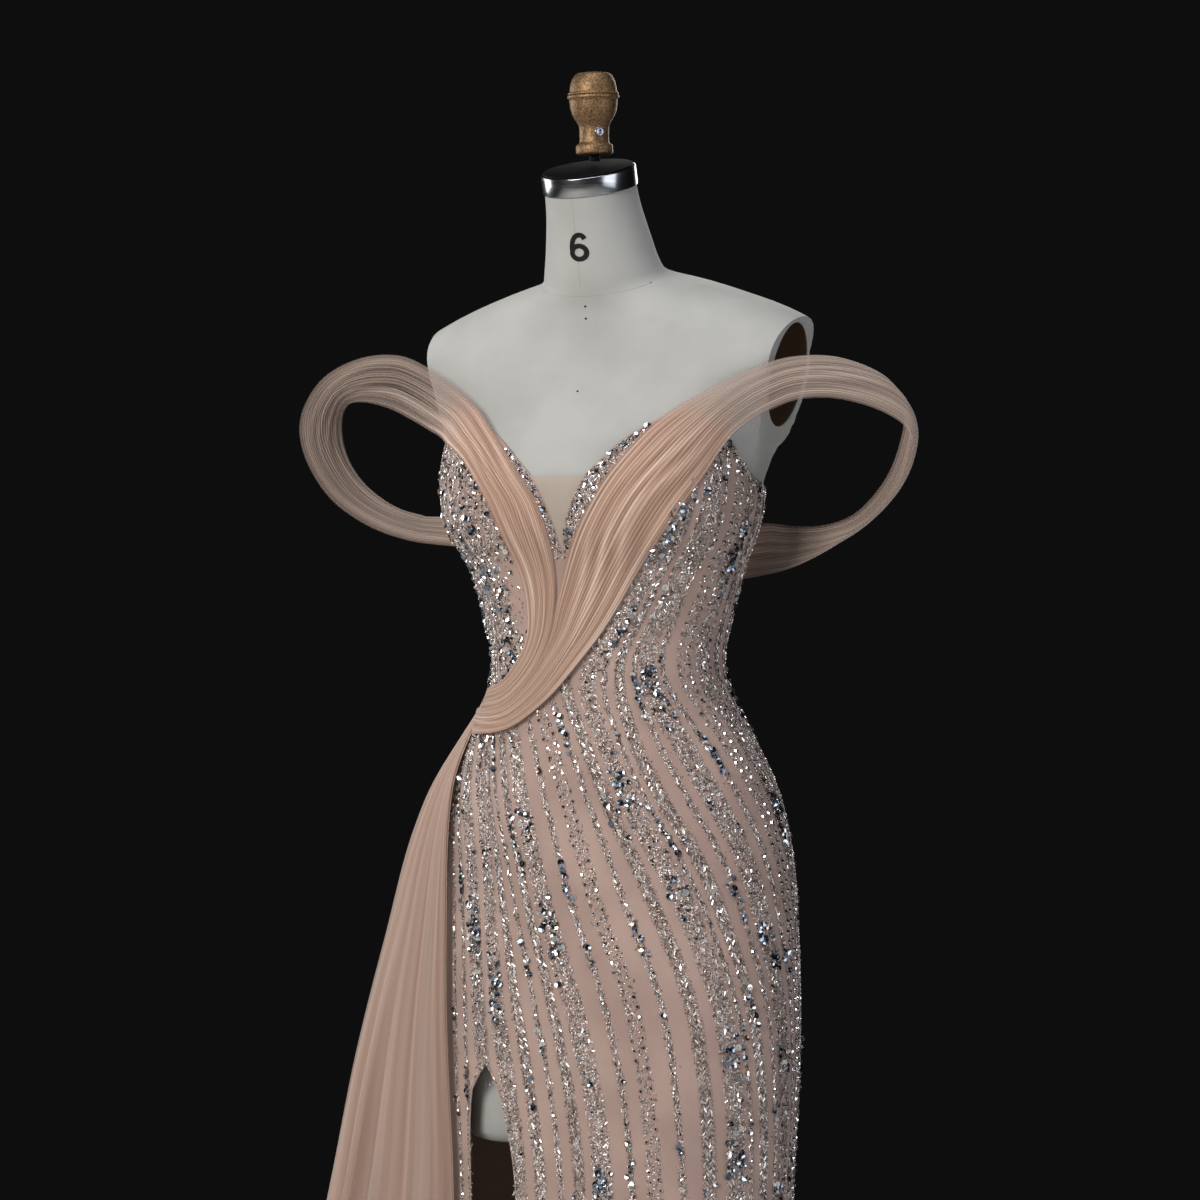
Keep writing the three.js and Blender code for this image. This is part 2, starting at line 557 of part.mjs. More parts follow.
// Arm plates lie in a shallow recess of a flat cut that leans outwards towards the shoulder
const arm = { foot: 164, footHeight: 1300, lean: 12, middleY: 24, middleHeight: 1354, high: 50, wide: 41,
  recess: 3, thick: 2.2, gap: 0.3 };

function armFrame(side, outwards) {
  const rise = arm.middleHeight - arm.footHeight;
  const x = arm.foot + rise * Math.tan(radians(arm.lean));
  const turn = new THREE.Matrix4().makeRotationY(side * (Math.PI / 2 + radians(arm.lean)));
  const out = outwards / Math.cos(radians(arm.lean));
  return turn.setPosition(side * (x + out), arm.middleY, arm.middleHeight);
}

function armDisc(side, slack, from, to) {
  const outline = new THREE.Shape();
  outline.absellipse(0, 0, arm.high - slack, arm.wide - slack, 0, 2 * Math.PI);
  const disc = new THREE.ExtrudeGeometry(outline, { depth: to - from, bevelEnabled: false, curveSegments: 18 });
  return disc.translate(0, 0, from).applyMatrix4(armFrame(side, 0));
}

const thigh = { x: 90, y: 20, halfWidth: 67, halfDepth: 80, top: 850, end: 625, round: 14, sides: 24 };

function thighRings(side) {
  const ring = (height, shrink) => Array.from({ length: thigh.sides }, (_, i) => {
    const turn = (2 * Math.PI * i) / thigh.sides;
    const taper = 1 - 0.0005 * (thigh.top - height);
    return new THREE.Vector3(side * thigh.x + (thigh.halfWidth * taper - shrink) * Math.sin(turn),
      thigh.y - (thigh.halfDepth * taper - shrink) * Math.cos(turn), height);
  });
  const edge = [0, 0.35, 0.7, 1].map((share) => {
    const turn = (share * Math.PI) / 2;
    return ring(thigh.end + thigh.round * (1 - Math.sin(turn)), thigh.round * (1 - Math.cos(turn)));
  });
  return [...edge.reverse(), ring(700, 0), ring(780, 6), ring(thigh.top, 14)];
}

function formBody() {
  const angles = Array.from({ length: ringSides }, (_, i) => (360 * i) / ringSides - 180);
  const rings = [
    ...formLevels.map((height) => angles.map((angle) => lowerPoint(height, angle))),
    ...shoulderRings.map((row) => angles.map((angle) => shoulderPoint(row, angle))),
  ];
  let body = toManifold(loft(rings));
  for (const side of [-1, 1]) {
    body = body.add(toManifold(loft(thighRings(side))));
    const block = new THREE.BoxGeometry(400, 400, 200).translate(0, 0, 100).applyMatrix4(armFrame(side, 0));
    body = body.subtract(toManifold(block));
    body = body.subtract(toManifold(armDisc(side, 0, -arm.recess, 5)));
  }
  return fromManifold("dress_form", body, formCloth);
}

function armPlate(side) {
  const start = arm.gap - arm.recess;
  const disc = armDisc(side, arm.gap, start, start + arm.thick);
  return named(side > 0 ? "arm_plate_left" : "arm_plate_right", disc, plateBrown);
}

// Turned pieces on the neck: profiles of radius and height from the piece's own foot
function turned(name, profile, finish, sides = 32) {
  const points = profile.map(([radius, height]) => new THREE.Vector2(radius, height));
  return named(name, new THREE.LatheGeometry(points, sides).rotateX(Math.PI / 2), finish);
}

const neckTop = shoulderRings[shoulderRings.length - 1];
const cap = { radius: 45, high: 18, wall: 3, plate: 1.5, gap: 0.3 };
const knob = { y: -30, foot: 1563, lean: 3, stem: 5, reach: 20, sides: 20 };
const capAxis = { y: neckTop.centre, z: neckTop.level + Math.tan(radians(neckTop.lean)) * neckTop.centre };

// Moves a piece to a distance up the leaning axis of the neck
function onNeck(mesh, up) {
  const lean = radians(neckTop.lean);
  mesh.rotation.x = lean;
  mesh.position.set(0, capAxis.y - Math.sin(lean) * up, capAxis.z + Math.cos(lean) * up);
  return mesh;
}

function neckCap() {
  const r = cap.radius;
  const ring = turned("neck_cap_ring", [[0, 0], [r - 1, 0], [r, 1], [r, cap.high - 1], [r - 1, cap.high],
    [0, cap.high]], polishedSteel, 36);
  const plate = turned("neck_cap_plate", [[0, 0], [r - 2, 0], [r - 2, cap.plate], [0, cap.plate]], blackPlate, 36);
  return [onNeck(ring, cap.gap), onNeck(plate, cap.high + 2 * cap.gap)];
}

function knobParts() {
  const foot = new THREE.Vector3(0, knob.y, knob.foot);
  const place = (mesh, up) => {
    mesh.rotation.x = radians(knob.lean);
    mesh.position.copy(foot);
    mesh.position.z += up;
    return mesh;
  };
  const rod = turned("rod", [[0, -knob.reach], [knob.stem, -knob.reach], [knob.stem, -cap.gap], [0, -cap.gap]],
    blackPlate, 16);
  const neck = new THREE.BoxGeometry(200, 200, 60).translate(0, 0, -30);
  const upTo = onNeck(new THREE.Mesh(neck), cap.high + cap.plate + 3 * cap.gap);
  upTo.updateMatrix();
  place(rod, 0).updateMatrix();
  const below = toManifold(neck.applyMatrix4(rod.matrix.clone().invert().multiply(upTo.matrix)));
  const stem = fromManifold("knob_stem", toManifold(rod.geometry).subtract(below), blackPlate);
  const bowlShape = turned("knob_bowl", [[0, 0], [16, 0], [17.5, 1.5], [17.5, 8.5], [16, 10.5], [14.6, 14],
    [14.3, 25], [16, 31], [20, 39], [24.5, 51], [24.5, 56], [0, 56]], goldPaint, knob.sides);
  const dome = turned("knob_dome", [[0, 0], [23, 0], [23.6, 5], [22, 12], [18.5, 17], [14, 20.4], [0, 21.5]],
    goldPaint, knob.sides);
  const screw = new THREE.CylinderGeometry(4.4, 4.4, 5, 16);
  const hole = new THREE.CylinderGeometry(4.7, 4.7, 8, 16);
  const turn = radians(42);
  const aim = (geometry, out) => geometry.rotateZ(turn)
    .translate(Math.sin(turn) * out, -Math.cos(turn) * out, 21);
  const bore = toManifold(bowlShape.geometry).subtract(toManifold(aim(hole, 16)));
  const bowl = fromManifold("knob_bowl", bore, goldPaint);
  const screwMesh = named("knob_set_screw", aim(screw, 14.9), standSteel);
  return [place(stem, 0), place(bowl, 0), place(dome, 56 + cap.gap), place(screwMesh, 0)];
}

// Stand: a pole with a top flange under the form, on a weighted base
const stand = { baseRadius: 138, baseHigh: 22, hubRadius: 30, hubHigh: 70, pole: 14, flange: 19, flangeThick: 6 };

function standParts() {
  const base = turned("stand_base", [[0, 0], [stand.baseRadius - 3, 0], [stand.baseRadius, 3],
    [stand.baseRadius, stand.baseHigh - 6], [stand.baseRadius - 6, stand.baseHigh],
    [stand.hubRadius + 10, stand.baseHigh + 3], [stand.hubRadius, stand.baseHigh + 12],
    [stand.hubRadius - 6, stand.hubHigh], [0, stand.hubHigh]], standSteel);
  const top = formLevels[0] - cap.gap;
  const pole = turned("stand_pole", [[0, stand.hubHigh + cap.gap], [stand.pole, stand.hubHigh + cap.gap],
    [stand.pole, top - stand.flangeThick], [stand.flange, top - stand.flangeThick], [stand.flange, top], [0, top]],
  standSteel, 24);
  return [base, pole];
}

// Concealed zip down the centre back: a narrow coil and its slider with a drop pull
const zip = { low: 980, high: 1212, halfTurn: 0.9, proud: 1.2, gap: 0.3 };

function zipParts() {
  const levels = [...panelLevels.filter((level) => level >= zip.low), zip.high];
  const place = (c, r, lift) => onSkin(180 + (c - 0.5) * 2 * zip.halfTurn, levels[r], lift);
  const coil = wall("zip_coil", 2, levels.length,
    (c, r) => place(c, r, zip.gap + zip.proud), (c, r) => place(c, r, zip.gap), zipNylon);
  const seat = onSkin(180, zip.high + 4, 0);
  const slider = new THREE.BoxGeometry(7, 4, 8).translate(seat.x, seat.y + 2 + zip.gap, zip.high + 5);
  return [coil, named("zip_slider", slider, zipNylon)];
}

const gown = new THREE.Group();
gown.add(panelWall("gown_front", panels.front));
gown.add(panelWall("gown_side_front_right", panels.sideFront));
gown.add(panelWall("gown_back_left", panels.backLeft));
gown.add(panelWall("gown_back_right", panels.backRight));
gown.add(plungeInsert());
gown.add(sashWall("sash_left", leftSash));
gown.add(sashWall("sash_right", rightSash));
for (const [name, layer] of Object.entries(trainLayers)) gown.add(trainWall(name, layer));
gown.add(...zipParts());

const form = new THREE.Group();
form.add(formBody(), armPlate(-1), armPlate(1), ...neckCap(), ...knobParts(), ...standParts());

const gownOnForm = new THREE.Group();
gownOnForm.add(gown, form);
export default gownOnForm;
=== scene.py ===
import math

import bmesh
import bpy
import numpy as np
from mathutils import Matrix, Vector


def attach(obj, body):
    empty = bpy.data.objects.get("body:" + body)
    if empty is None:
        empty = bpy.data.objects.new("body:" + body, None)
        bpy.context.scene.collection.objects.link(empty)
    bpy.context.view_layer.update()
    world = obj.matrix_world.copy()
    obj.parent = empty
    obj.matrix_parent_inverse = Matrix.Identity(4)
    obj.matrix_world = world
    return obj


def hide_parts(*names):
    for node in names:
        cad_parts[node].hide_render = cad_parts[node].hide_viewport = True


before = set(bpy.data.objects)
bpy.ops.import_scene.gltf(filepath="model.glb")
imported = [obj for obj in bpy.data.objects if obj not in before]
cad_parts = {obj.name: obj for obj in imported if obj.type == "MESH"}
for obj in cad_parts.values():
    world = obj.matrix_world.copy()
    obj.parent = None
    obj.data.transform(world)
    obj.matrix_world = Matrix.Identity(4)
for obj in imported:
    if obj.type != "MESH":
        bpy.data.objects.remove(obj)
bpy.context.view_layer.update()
chance = np.random.default_rng(7)
mm = 0.001


def linear(hexColour):
    values = [int(hexColour[i : i + 2], 16) / 255 for i in (0, 2, 4)]
    return [c / 12.92 if c <= 0.04045 else ((c + 0.055) / 1.055) ** 2.4 for c in values] + [1.0]


# Stops are the places and colours of a colour ramp
def addNode(tree, kind, inputs=None, stops=(), **settings):
    node = tree.nodes.new(kind)
    marks = node.color_ramp.elements if stops else []
    while len(marks) < len(stops):
        marks.new(0.5)
    for mark, (place, colour) in zip(marks, stops):
        mark.position = place
        mark.color = linear(colour)
    for key, value in settings.items():
        setattr(node, key, value)
    for socket, value in (inputs or {}).items():
        if isinstance(value, bpy.types.NodeSocket):
            tree.links.new(value, node.inputs[socket])
        else:
            node.inputs[socket].default_value = value
    return node


def newMaterial(name, build):
    material = bpy.data.materials.new(name)
    material.use_nodes = True
    tree = material.node_tree
    tree.nodes.clear()
    shader = build(tree)
    addNode(tree, "ShaderNodeOutputMaterial", {"Surface": shader.outputs[0]})
    return material


# The gown's form, as in the solids
gownSections = {  # half width, depth to the front and to the back of the centre
    "height": [12, 150, 300, 450, 590, 690, 760, 832, 890, 928, 966, 1004, 1042, 1061, 1080, 1098, 1118, 1161,
               1180, 1199, 1218, 1237, 1256, 1290, 1325],
    "halfWidth": [215, 192, 176, 170, 173, 178, 179, 177, 174, 169, 160, 144, 125, 118, 115, 116, 121, 133,
                  139, 147, 153, 156, 157, 158, 160],
    "front": [185, 158, 135, 120, 118, 121, 122, 120, 116, 112, 106, 99, 91, 88, 86, 86, 88, 95, 99,
              104, 108, 110, 110, 104, 95],
    "back": [235, 185, 150, 132, 129, 132, 134, 135, 133, 128, 120, 108, 94, 89, 87, 87, 88, 91, 94,
             96, 98, 99, 100, 102, 104],
    "centre": [36, 30, 26, 24, 24, 25, 25, 24, 22, 19, 15, 10, 5, 2, 0, 0, 0, 0, 0, 0, 0, 0, 0, 2, 6],
}
cup = {"angle": 43, "spread": 24, "height": 1235, "above": 75, "below": 56, "swell": 21}
topEdge = {
    "turn": [0, 2, 4.5, 7.5, 11, 15, 20, 26, 33, 41, 50, 64, 72, 83, 108, 140, 180],
    "height": [1190, 1212, 1231, 1248, 1261, 1272, 1286, 1299, 1309, 1313, 1309, 1290, 1273, 1258, 1246, 1232,
               1224],
}
slitEdges = {
    "height": [12, 300, 570, 623, 656, 685, 701],
    "front": [-12, -15.5, -18.5, -20.2, -22.9, -26.1, -30.2],
    "side": [-42, -41.5, -41.4, -41, -40, -37, -30.2],
}
slitSeam = {"height": [701, 890, 1080, 1180], "turn": [-30.2, -31, -32, -40]}
hem = 12
slitTop = 701


def readTable(table, key, at, column):  # a smooth curve through one column
    keys = np.array(table[key], float)
    values = np.array(table[column], float)
    last = len(keys) - 1
    at = np.clip(np.asarray(at, float), keys[0], keys[-1])
    i = np.clip(np.searchsorted(keys, at) - 1, 0, last - 1)
    k = np.arange(last + 1)
    low, high = np.maximum(k - 1, 0), np.minimum(k + 1, last)
    slope = (values[high] - values[low]) / (keys[high] - keys[low])
    span = keys[i + 1] - keys[i]
    t = (at - keys[i]) / span
    rise = values[i + 1] - values[i]
    bend = t * (1 - t) * ((slope[i] * span - rise) * (1 - t) - (slope[i + 1] * span - rise) * t)
    return values[i] + rise * t + bend


def smoothstep(x):
    x = np.clip(x, 0, 1)
    return x * x * (3 - 2 * x)


def cupSwell(angle, height, swell):
    reach = np.where(height > cup["height"], cup["above"], cup["below"])
    level = np.exp(-(np.abs((height - cup["height"]) / reach) ** 4))
    sides = [np.exp(-(((angle - side * cup["angle"]) / cup["spread"]) ** 2)) for side in (-1, 1)]
    return swell * level * sum(sides)


# Outer face of the gown; the angle runs from the centre front to the wearer's left
def skin(angle, height, swell=21):
    angle, height = np.broadcast_arrays(np.asarray(angle, float), np.asarray(height, float))
    turn = np.radians(angle)
    facing = np.cos(turn)
    width = readTable(gownSections, "height", height, "halfWidth")
    front = readTable(gownSections, "height", height, "front")
    back = readTable(gownSections, "height", height, "back")
    centre = readTable(gownSections, "height", height, "centre")
    out = cupSwell((angle + 180) % 360 - 180, height, swell)
    depth = np.where(facing > 0, front, back) + out
    return np.stack([(width + out) * np.sin(turn), centre - depth * facing, height], -1)


def unit(v):
    return v / np.maximum(np.linalg.norm(v, axis=-1, keepdims=True), 1e-9)


def skinNormal(angle, height, swell=21):
    step = 0.5
    across = skin(angle + step, height, swell) - skin(angle - step, height, swell)
    up = skin(angle, height + step, swell) - skin(angle, height - step, swell)
    return unit(np.cross(across, up))


def onSkin(angle, height, lift, swell=21):
    angle, height = np.asarray(angle, float), np.asarray(height, float)
    return skin(angle, height, swell) + skinNormal(angle, height, swell) * np.asarray(lift, float)[..., None]


def angleAt(point):  # the angle of the skin that a point in space is nearest to
    x, y, z = point[..., 0], point[..., 1], point[..., 2]
    width = readTable(gownSections, "height", z, "halfWidth")
    centre = readTable(gownSections, "height", z, "centre")
    front = readTable(gownSections, "height", z, "front")
    back = readTable(gownSections, "height", z, "back")
    return np.degrees(np.arctan2(x / width, (centre - y) / np.where(y < centre, front, back)))


def gownTop(angle):
    return readTable(topEdge, "turn", np.abs((np.asarray(angle, float) + 180) % 360 - 180), "height")


def slitTurn(height, side):
    below = readTable(slitEdges, "height", height, side)
    return np.where(height < slitTop, below, readTable(slitSeam, "height", height, "turn"))


def mix(a, b, t):
    return a + (b - a) * t


# Meshes
def addObject(name, data):
    thing = bpy.data.objects.new(name, data)
    bpy.context.collection.objects.link(thing)
    return thing


def addPiece(name, mesh, finish, smooth):
    mesh.polygons.foreach_set("use_smooth", [smooth] * len(mesh.polygons))
    mesh.materials.append(finish)
    piece = addObject(name, mesh)
    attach(piece, "root")
    return piece


def keep(name, bm, finish):
    mesh = bpy.data.meshes.new(name)
    bm.to_mesh(mesh)
    bm.free()
    return addPiece(name, mesh, finish, True)


# A sheet from a grid: place gives points in millimetres for shares across and up
def gridPiece(name, columns, rows, place, finish, marks=None):
    bm = bmesh.new()
    bmesh.ops.create_grid(bm, x_segments=columns, y_segments=rows, size=0.5, calc_uvs=True)
    bm.verts.ensure_lookup_table()
    shares = np.array([v.co[:2] for v in bm.verts]) + 0.5
    points = place(shares[:, 0], shares[:, 1]) * mm
    for vertex, point in zip(bm.verts, points):
        vertex.co = point
    for key, values in (marks or {}).items():
        layer = bm.verts.layers.float.new(key)
        for vertex, value in zip(bm.verts, values(shares[:, 0], shares[:, 1])):
            vertex[layer] = value
    return keep(name, bm, finish)


# One mesh of many copies of a small shape, with three directions and three lengths for each copy
def joinedCopies(name, shape, at, axes, sizes, tones, finish):
    local = np.array([v.co for v in shape.verts])
    corners = np.array([v.index for f in shape.faces for v in f.verts])
    faceSizes = np.array([len(f.verts) for f in shape.faces])
    count, each = len(at), len(local)
    world = at[:, None] + np.einsum("nvk,nkc->nvc", local[None] * sizes[:, None], axes)
    mesh = bpy.data.meshes.new(name)
    mesh.vertices.add(count * each)
    mesh.vertices.foreach_set("co", (world * mm).ravel())
    mesh.loops.add(count * len(corners))
    mesh.loops.foreach_set("vertex_index", (np.arange(count)[:, None] * each + corners).ravel())
    starts = np.concatenate([[0], np.cumsum(faceSizes)[:-1]])
    mesh.polygons.add(count * len(faceSizes))
    mesh.polygons.foreach_set("loop_start", (np.arange(count)[:, None] * len(corners) + starts).ravel())
    mesh.update(calc_edges=True)
    tone = mesh.attributes.new("tone", "FLOAT", "POINT")
    tone.data.foreach_set("value", np.repeat(tones, each))
    return addPiece(name, mesh, finish, False)


# Finishes
# Cloth with an uneven dye and a fine thread bump, threads in millimetres
def clothFinish(name, base, light, threads, settings):
    def build(tree):
        place = addNode(tree, "ShaderNodeTexCoord").outputs["Object"]
        cloud = addNode(tree, "ShaderNodeTexNoise", {"Vector": place, "Scale": 14, "Detail": 3})
        thread = addNode(tree, "ShaderNodeTexVoronoi", {"Vector": place, "Scale": 1 / (threads * mm)})
        colour = addNode(tree, "ShaderNodeValToRGB", {"Fac": cloud.outputs["Fac"]},
                         [(0.36, base), (0.64, light)])
        bump = addNode(tree, "ShaderNodeBump", {"Strength": settings.get("bump", 0.2), "Distance": 0.3 * mm,
                                                "Height": thread.outputs["Distance"]})
        return addNode(tree, "ShaderNodeBsdfPrincipled", {
            "Base Color": colour.outputs["Color"], "Roughness": settings.get("roughness", 0.85),
            "Normal": bump.outputs["Normal"],
            "Sheen Weight": settings.get("sheen", 0.25), "Sheen Roughness": 0.45, "IOR": 1.45,
            "Specular IOR Level": settings.get("specular", 0.25)})

    return newMaterial(name, build)


# Soft tulle. The attribute fold is 0 in a valley between pleats and 1 on a ridge, and veil is how closely it
# covers. Across and along run over the cloth, for the finest folds, and air is 1 where it hangs free, greyer.
# The colour ramp over fold is painted shade in the valleys and a painted highlight on the ridges, and where
# it hangs free the colour is mixed towards a greyer, darker painted shade.
def tulleFinish(name, stops, airShade, lines, fine):
    def build(tree):
        read = {}
        for word in ("fold", "veil", "across", "along", "air"):
            read[word] = addNode(tree, "ShaderNodeAttribute", attribute_name=word).outputs["Fac"]
        place = addNode(tree, "ShaderNodeCombineXYZ", {"X": read["across"], "Y": read["along"]})
        stretch = addNode(tree, "ShaderNodeMapping", {"Vector": place.outputs[0], "Scale": (*lines, 1)})
        thread = addNode(tree, "ShaderNodeTexNoise", {"Vector": stretch.outputs[0], "Scale": 1.0,
                                                      "Detail": 2})
        shade = addNode(tree, "ShaderNodeMath", {0: thread.outputs["Fac"], 1: fine, 2: -0.5 * fine},
                        operation="MULTIPLY_ADD").outputs[0]
        level = addNode(tree, "ShaderNodeMath", {0: read["fold"], 1: shade}, operation="ADD").outputs[0]
        cover = addNode(tree, "ShaderNodeMath", {0: read["veil"], 1: shade}, operation="ADD").outputs[0]
        bump = addNode(tree, "ShaderNodeBump", {"Strength": 0.5, "Distance": 0.5 * mm, "Height": level})
        # painted shade in the valleys and painted highlight on the ridges: the ramp runs dark to light over
        # fold
        tones = addNode(tree, "ShaderNodeValToRGB", {"Fac": level}, stops)
        # painted shade where the cloth hangs free: the colour goes towards the greyer colour given for the
        # air
        colour = addNode(tree, "ShaderNodeMix", {"Factor": read["air"], "A": tones.outputs["Color"],
                                                 "B": linear(airShade)}, data_type="RGBA")
        return addNode(tree, "ShaderNodeBsdfPrincipled", {
            "Base Color": colour.outputs["Result"], "Roughness": 0.8, "Alpha": cover,
            "Normal": bump.outputs["Normal"], "Sheen Weight": 0.4, "Sheen Roughness": 0.4, "IOR": 1.45,
            "Specular IOR Level": 0.2})

    return newMaterial(name, build)


# Glass and foil beads, each of its own tone
def beadFinish(name, stops, roughness, metallic):
    def build(tree):
        tone = addNode(tree, "ShaderNodeAttribute", attribute_name="tone")
        colour = addNode(tree, "ShaderNodeValToRGB", {"Fac": tone.outputs["Fac"]}, stops)
        return addNode(tree, "ShaderNodeBsdfPrincipled", {
            "Base Color": colour.outputs["Color"], "Roughness": roughness, "Metallic": metallic})

    return newMaterial(name, build)


# Tiny seeds drawn on a strip: one to each cell, as many of them as the attribute strewn says
def strewnFinish(name, stops, apart):
    def build(tree):
        place = addNode(tree, "ShaderNodeTexCoord").outputs["Object"]
        cell = addNode(tree, "ShaderNodeTexVoronoi", {"Vector": place, "Scale": 1 / (apart * mm),
                                                      "Randomness": 0.8})
        tone = addNode(tree, "ShaderNodeSeparateColor", {"Color": cell.outputs["Color"]})
        colour = addNode(tree, "ShaderNodeValToRGB", {"Fac": tone.outputs["Red"]}, stops)
        amount = addNode(tree, "ShaderNodeAttribute", attribute_name="strewn").outputs["Fac"]
        here = addNode(tree, "ShaderNodeMath", {0: tone.outputs["Green"], 1: amount}, operation="LESS_THAN")
        disc = addNode(tree, "ShaderNodeMath", {0: cell.outputs["Distance"], 1: 0.5}, operation="LESS_THAN")
        shown = addNode(tree, "ShaderNodeMath", {0: here.outputs[0], 1: disc.outputs[0]},
                        operation="MULTIPLY")
        dome = addNode(tree, "ShaderNodeBump", {"Strength": 1.0, "Distance": 0.8 * mm,
                                                "Height": cell.outputs["Distance"]}, invert=True)
        return addNode(tree, "ShaderNodeBsdfPrincipled", {
            "Base Color": colour.outputs["Color"], "Roughness": 0.3, "Metallic": 0.5,
            "Alpha": shown.outputs[0], "Normal": dome.outputs["Normal"]})

    return newMaterial(name, build)


# Metal or paint with a grain in millimetres along x, y and z
def metalFinish(name, dark, light, roughness, grain, bump, metallic=1.0):
    def build(tree):
        place = addNode(tree, "ShaderNodeTexCoord").outputs["Object"]
        stretch = addNode(tree, "ShaderNodeMapping", {"Vector": place,
                                                      "Scale": [1 / (g * mm) for g in grain]})
        noise = addNode(tree, "ShaderNodeTexNoise", {"Vector": stretch.outputs[0], "Scale": 1.0, "Detail": 4})
        rough = addNode(tree, "ShaderNodeMapRange", {"Value": noise.outputs["Fac"], "To Min": roughness[0],
                                                     "To Max": roughness[1]})
        relief = addNode(tree, "ShaderNodeBump", {"Strength": bump, "Distance": 0.3 * mm,
                                                  "Height": noise.outputs["Fac"]})
        colour = addNode(tree, "ShaderNodeValToRGB", {"Fac": noise.outputs["Fac"]},
                         [(0.35, dark), (0.65, light)])
        return addNode(tree, "ShaderNodeBsdfPrincipled", {
            "Base Color": colour.outputs["Color"], "Metallic": metallic,
            "Roughness": rough.outputs[0], "Normal": relief.outputs["Normal"]})

    return newMaterial(name, build)


# Nude power net under blush tulle: matt, slightly uneven, warm
beadedTulle = clothFinish("blush tulle on nude net", "a28b83", "b19990", 1.4,
                          {"roughness": 0.75, "sheen": 0.3})
# Fine stretch mesh in the plunge: thin and matt, close to the form's colour
nudeMesh = clothFinish("nude stretch mesh", "a3998f", "b0a79c", 1.2, {"roughness": 0.8, "sheen": 0.2})
# Pleated soft tulle: a painted highlight on the ridges and a tan painted shade in the valleys between pleats,
# and a greyer painted shade where it hangs free
sashTulle = tulleFinish("pleated blush tulle", [(0.0, "70574a"), (0.3, "a28373"), (0.62, "bb9c8b"),
                                                (1.0, "dac7ba")],
                        "9d9088", (95, 4), 0.62)
# One or two layers of sheer tulle, greyer than the sash, denser in the folds, with painted shade in the
# valleys of the folds and a painted highlight on their ridges
trainTulle = tulleFinish("sheer train tulle", [(0.0, "967c6f"), (0.5, "b59a8d"), (1.0, "ccb5aa")],
                         "94877e", (60, 2), 0.24)
# Off-white cotton over a hard shell: dry, faintly slubby
formCloth = clothFinish("off-white form cotton", "a7a8a6", "b1b2b0", 0.9,
                        {"roughness": 0.9, "sheen": 0.15, "bump": 0.15})
seamCloth = clothFinish("cotton seam", "a09f9b", "aaa9a5", 0.9, {"roughness": 0.9, "sheen": 0.1})
# Silver-lined glass bugles and seeds: champagne and silver, a few bright ones among them
glassTones = [(0.0, "665955"), (0.3, "a39591"), (0.6, "cfc6c2"), (1.0, "fcfbfa")]
bugleGlass = beadFinish("silver-lined glass", glassTones, 0.25, 0.6)
strewnGlass = strewnFinish("strewn seed glass", glassTones, 1.7)
# Foil-backed rhinestones: clear with hard facets
rhinestone = beadFinish("foil-backed crystal", [(0.0, "8e99a6"), (0.5, "dfe3e8"), (1.0, "ffffff")], 0.08, 1.0)
# Metallised film sequins: mirror faces in silver, champagne and blue-grey
sequinFilm = beadFinish("metallised film", [(0.0, "5d6a7b"), (0.35, "909dae"), (0.65, "cdd2d8"),
                                            (0.9, "e8e5e0"),
                                            (1.0, "d3b8a2")], 0.2, 1.0)
armPlastic = metalFinish("brown moulded plastic", "2e1f14", "3d2a1b", (0.25, 0.4), (30, 4, 4), 0.05, 0.0)
polishedSteel = metalFinish("polished steel", "a4a7ab", "b9bcc0", (0.16, 0.26), (40, 40, 2), 0.02)
blackPlastic = clothFinish("black moulded plastic", "050506", "08080a", 3, {"roughness": 0.6, "sheen": 0.0,
                                                                           "specular": 0.12, "bump": 0.02})
# Gold paint on a sand casting: grainy, darker brown where the grain's bump is low
goldPaint = metalFinish("gold painted casting", "4e3a27", "a3835f", (0.42, 0.62), (1.5, 1.5, 1.5), 0.7, 0.7)
satinSteel = metalFinish("satin steel", "8d9094", "a2a5a9", (0.25, 0.4), (60, 60, 1.2), 0.04)
zipNylon = clothFinish("nylon zip", "97745f", "a17e6b", 0.8, {"roughness": 0.5, "sheen": 0.0,
                                                              "specular": 0.5})
screwSteel = metalFinish("zinc-plated steel", "8f9499", "b0b5ba", (0.2, 0.35), (2, 2, 2), 0.05)
inkBlack = clothFinish("black print", "0e0e0f", "151516", 1.0, {"roughness": 0.6, "sheen": 0.0, "bump": 0.05})
print("finishes made")


# Gown shell: four panels that meet at their seams
seamEnds = {
    "gown_front_shell": {"node": "gown_front", "from": "seam", "to": 90, "columns": 72, "flat": (0.41, 1.32),
                         "area": 0.39},
    "gown_side_front_shell": {"node": "gown_side_front_right", "from": -90, "to": "seam", "columns": 26,
                              "flat": (0.14, 1.25), "area": 0.16},
    "gown_back_left_shell": {"node": "gown_back_left", "from": 90, "to": 180, "columns": 44,
                             "flat": (0.33, 1.24), "area": 0.3},
    "gown_back_right_shell": {"node": "gown_back_right", "from": -180, "to": -90, "columns": 44,
                              "flat": (0.33, 1.24), "area": 0.3},
}
gownShell = {"rows": 112, "belowCups": 0.72, "foot": 1180, "under": 0.3, "thick": 1.0}


def panelPlace(ends):
    def place(across, up):
        split, foot = gownShell["belowCups"], gownShell["foot"]  # the share of the rows below the cups' foot
        below = mix(hem, foot, np.clip(up / split, 0, 1))
        start = slitTurn(below, "front") if ends["from"] == "seam" else ends["from"]
        end = slitTurn(below, "side") if ends["to"] == "seam" else ends["to"]
        angle = mix(start, end, across)
        height = np.where(up <= split, below, mix(foot, gownTop(angle),
                                                  np.clip((up - split) / (1 - split), 0, 1)))
        return onSkin(angle, height, -gownShell["under"])

    return place


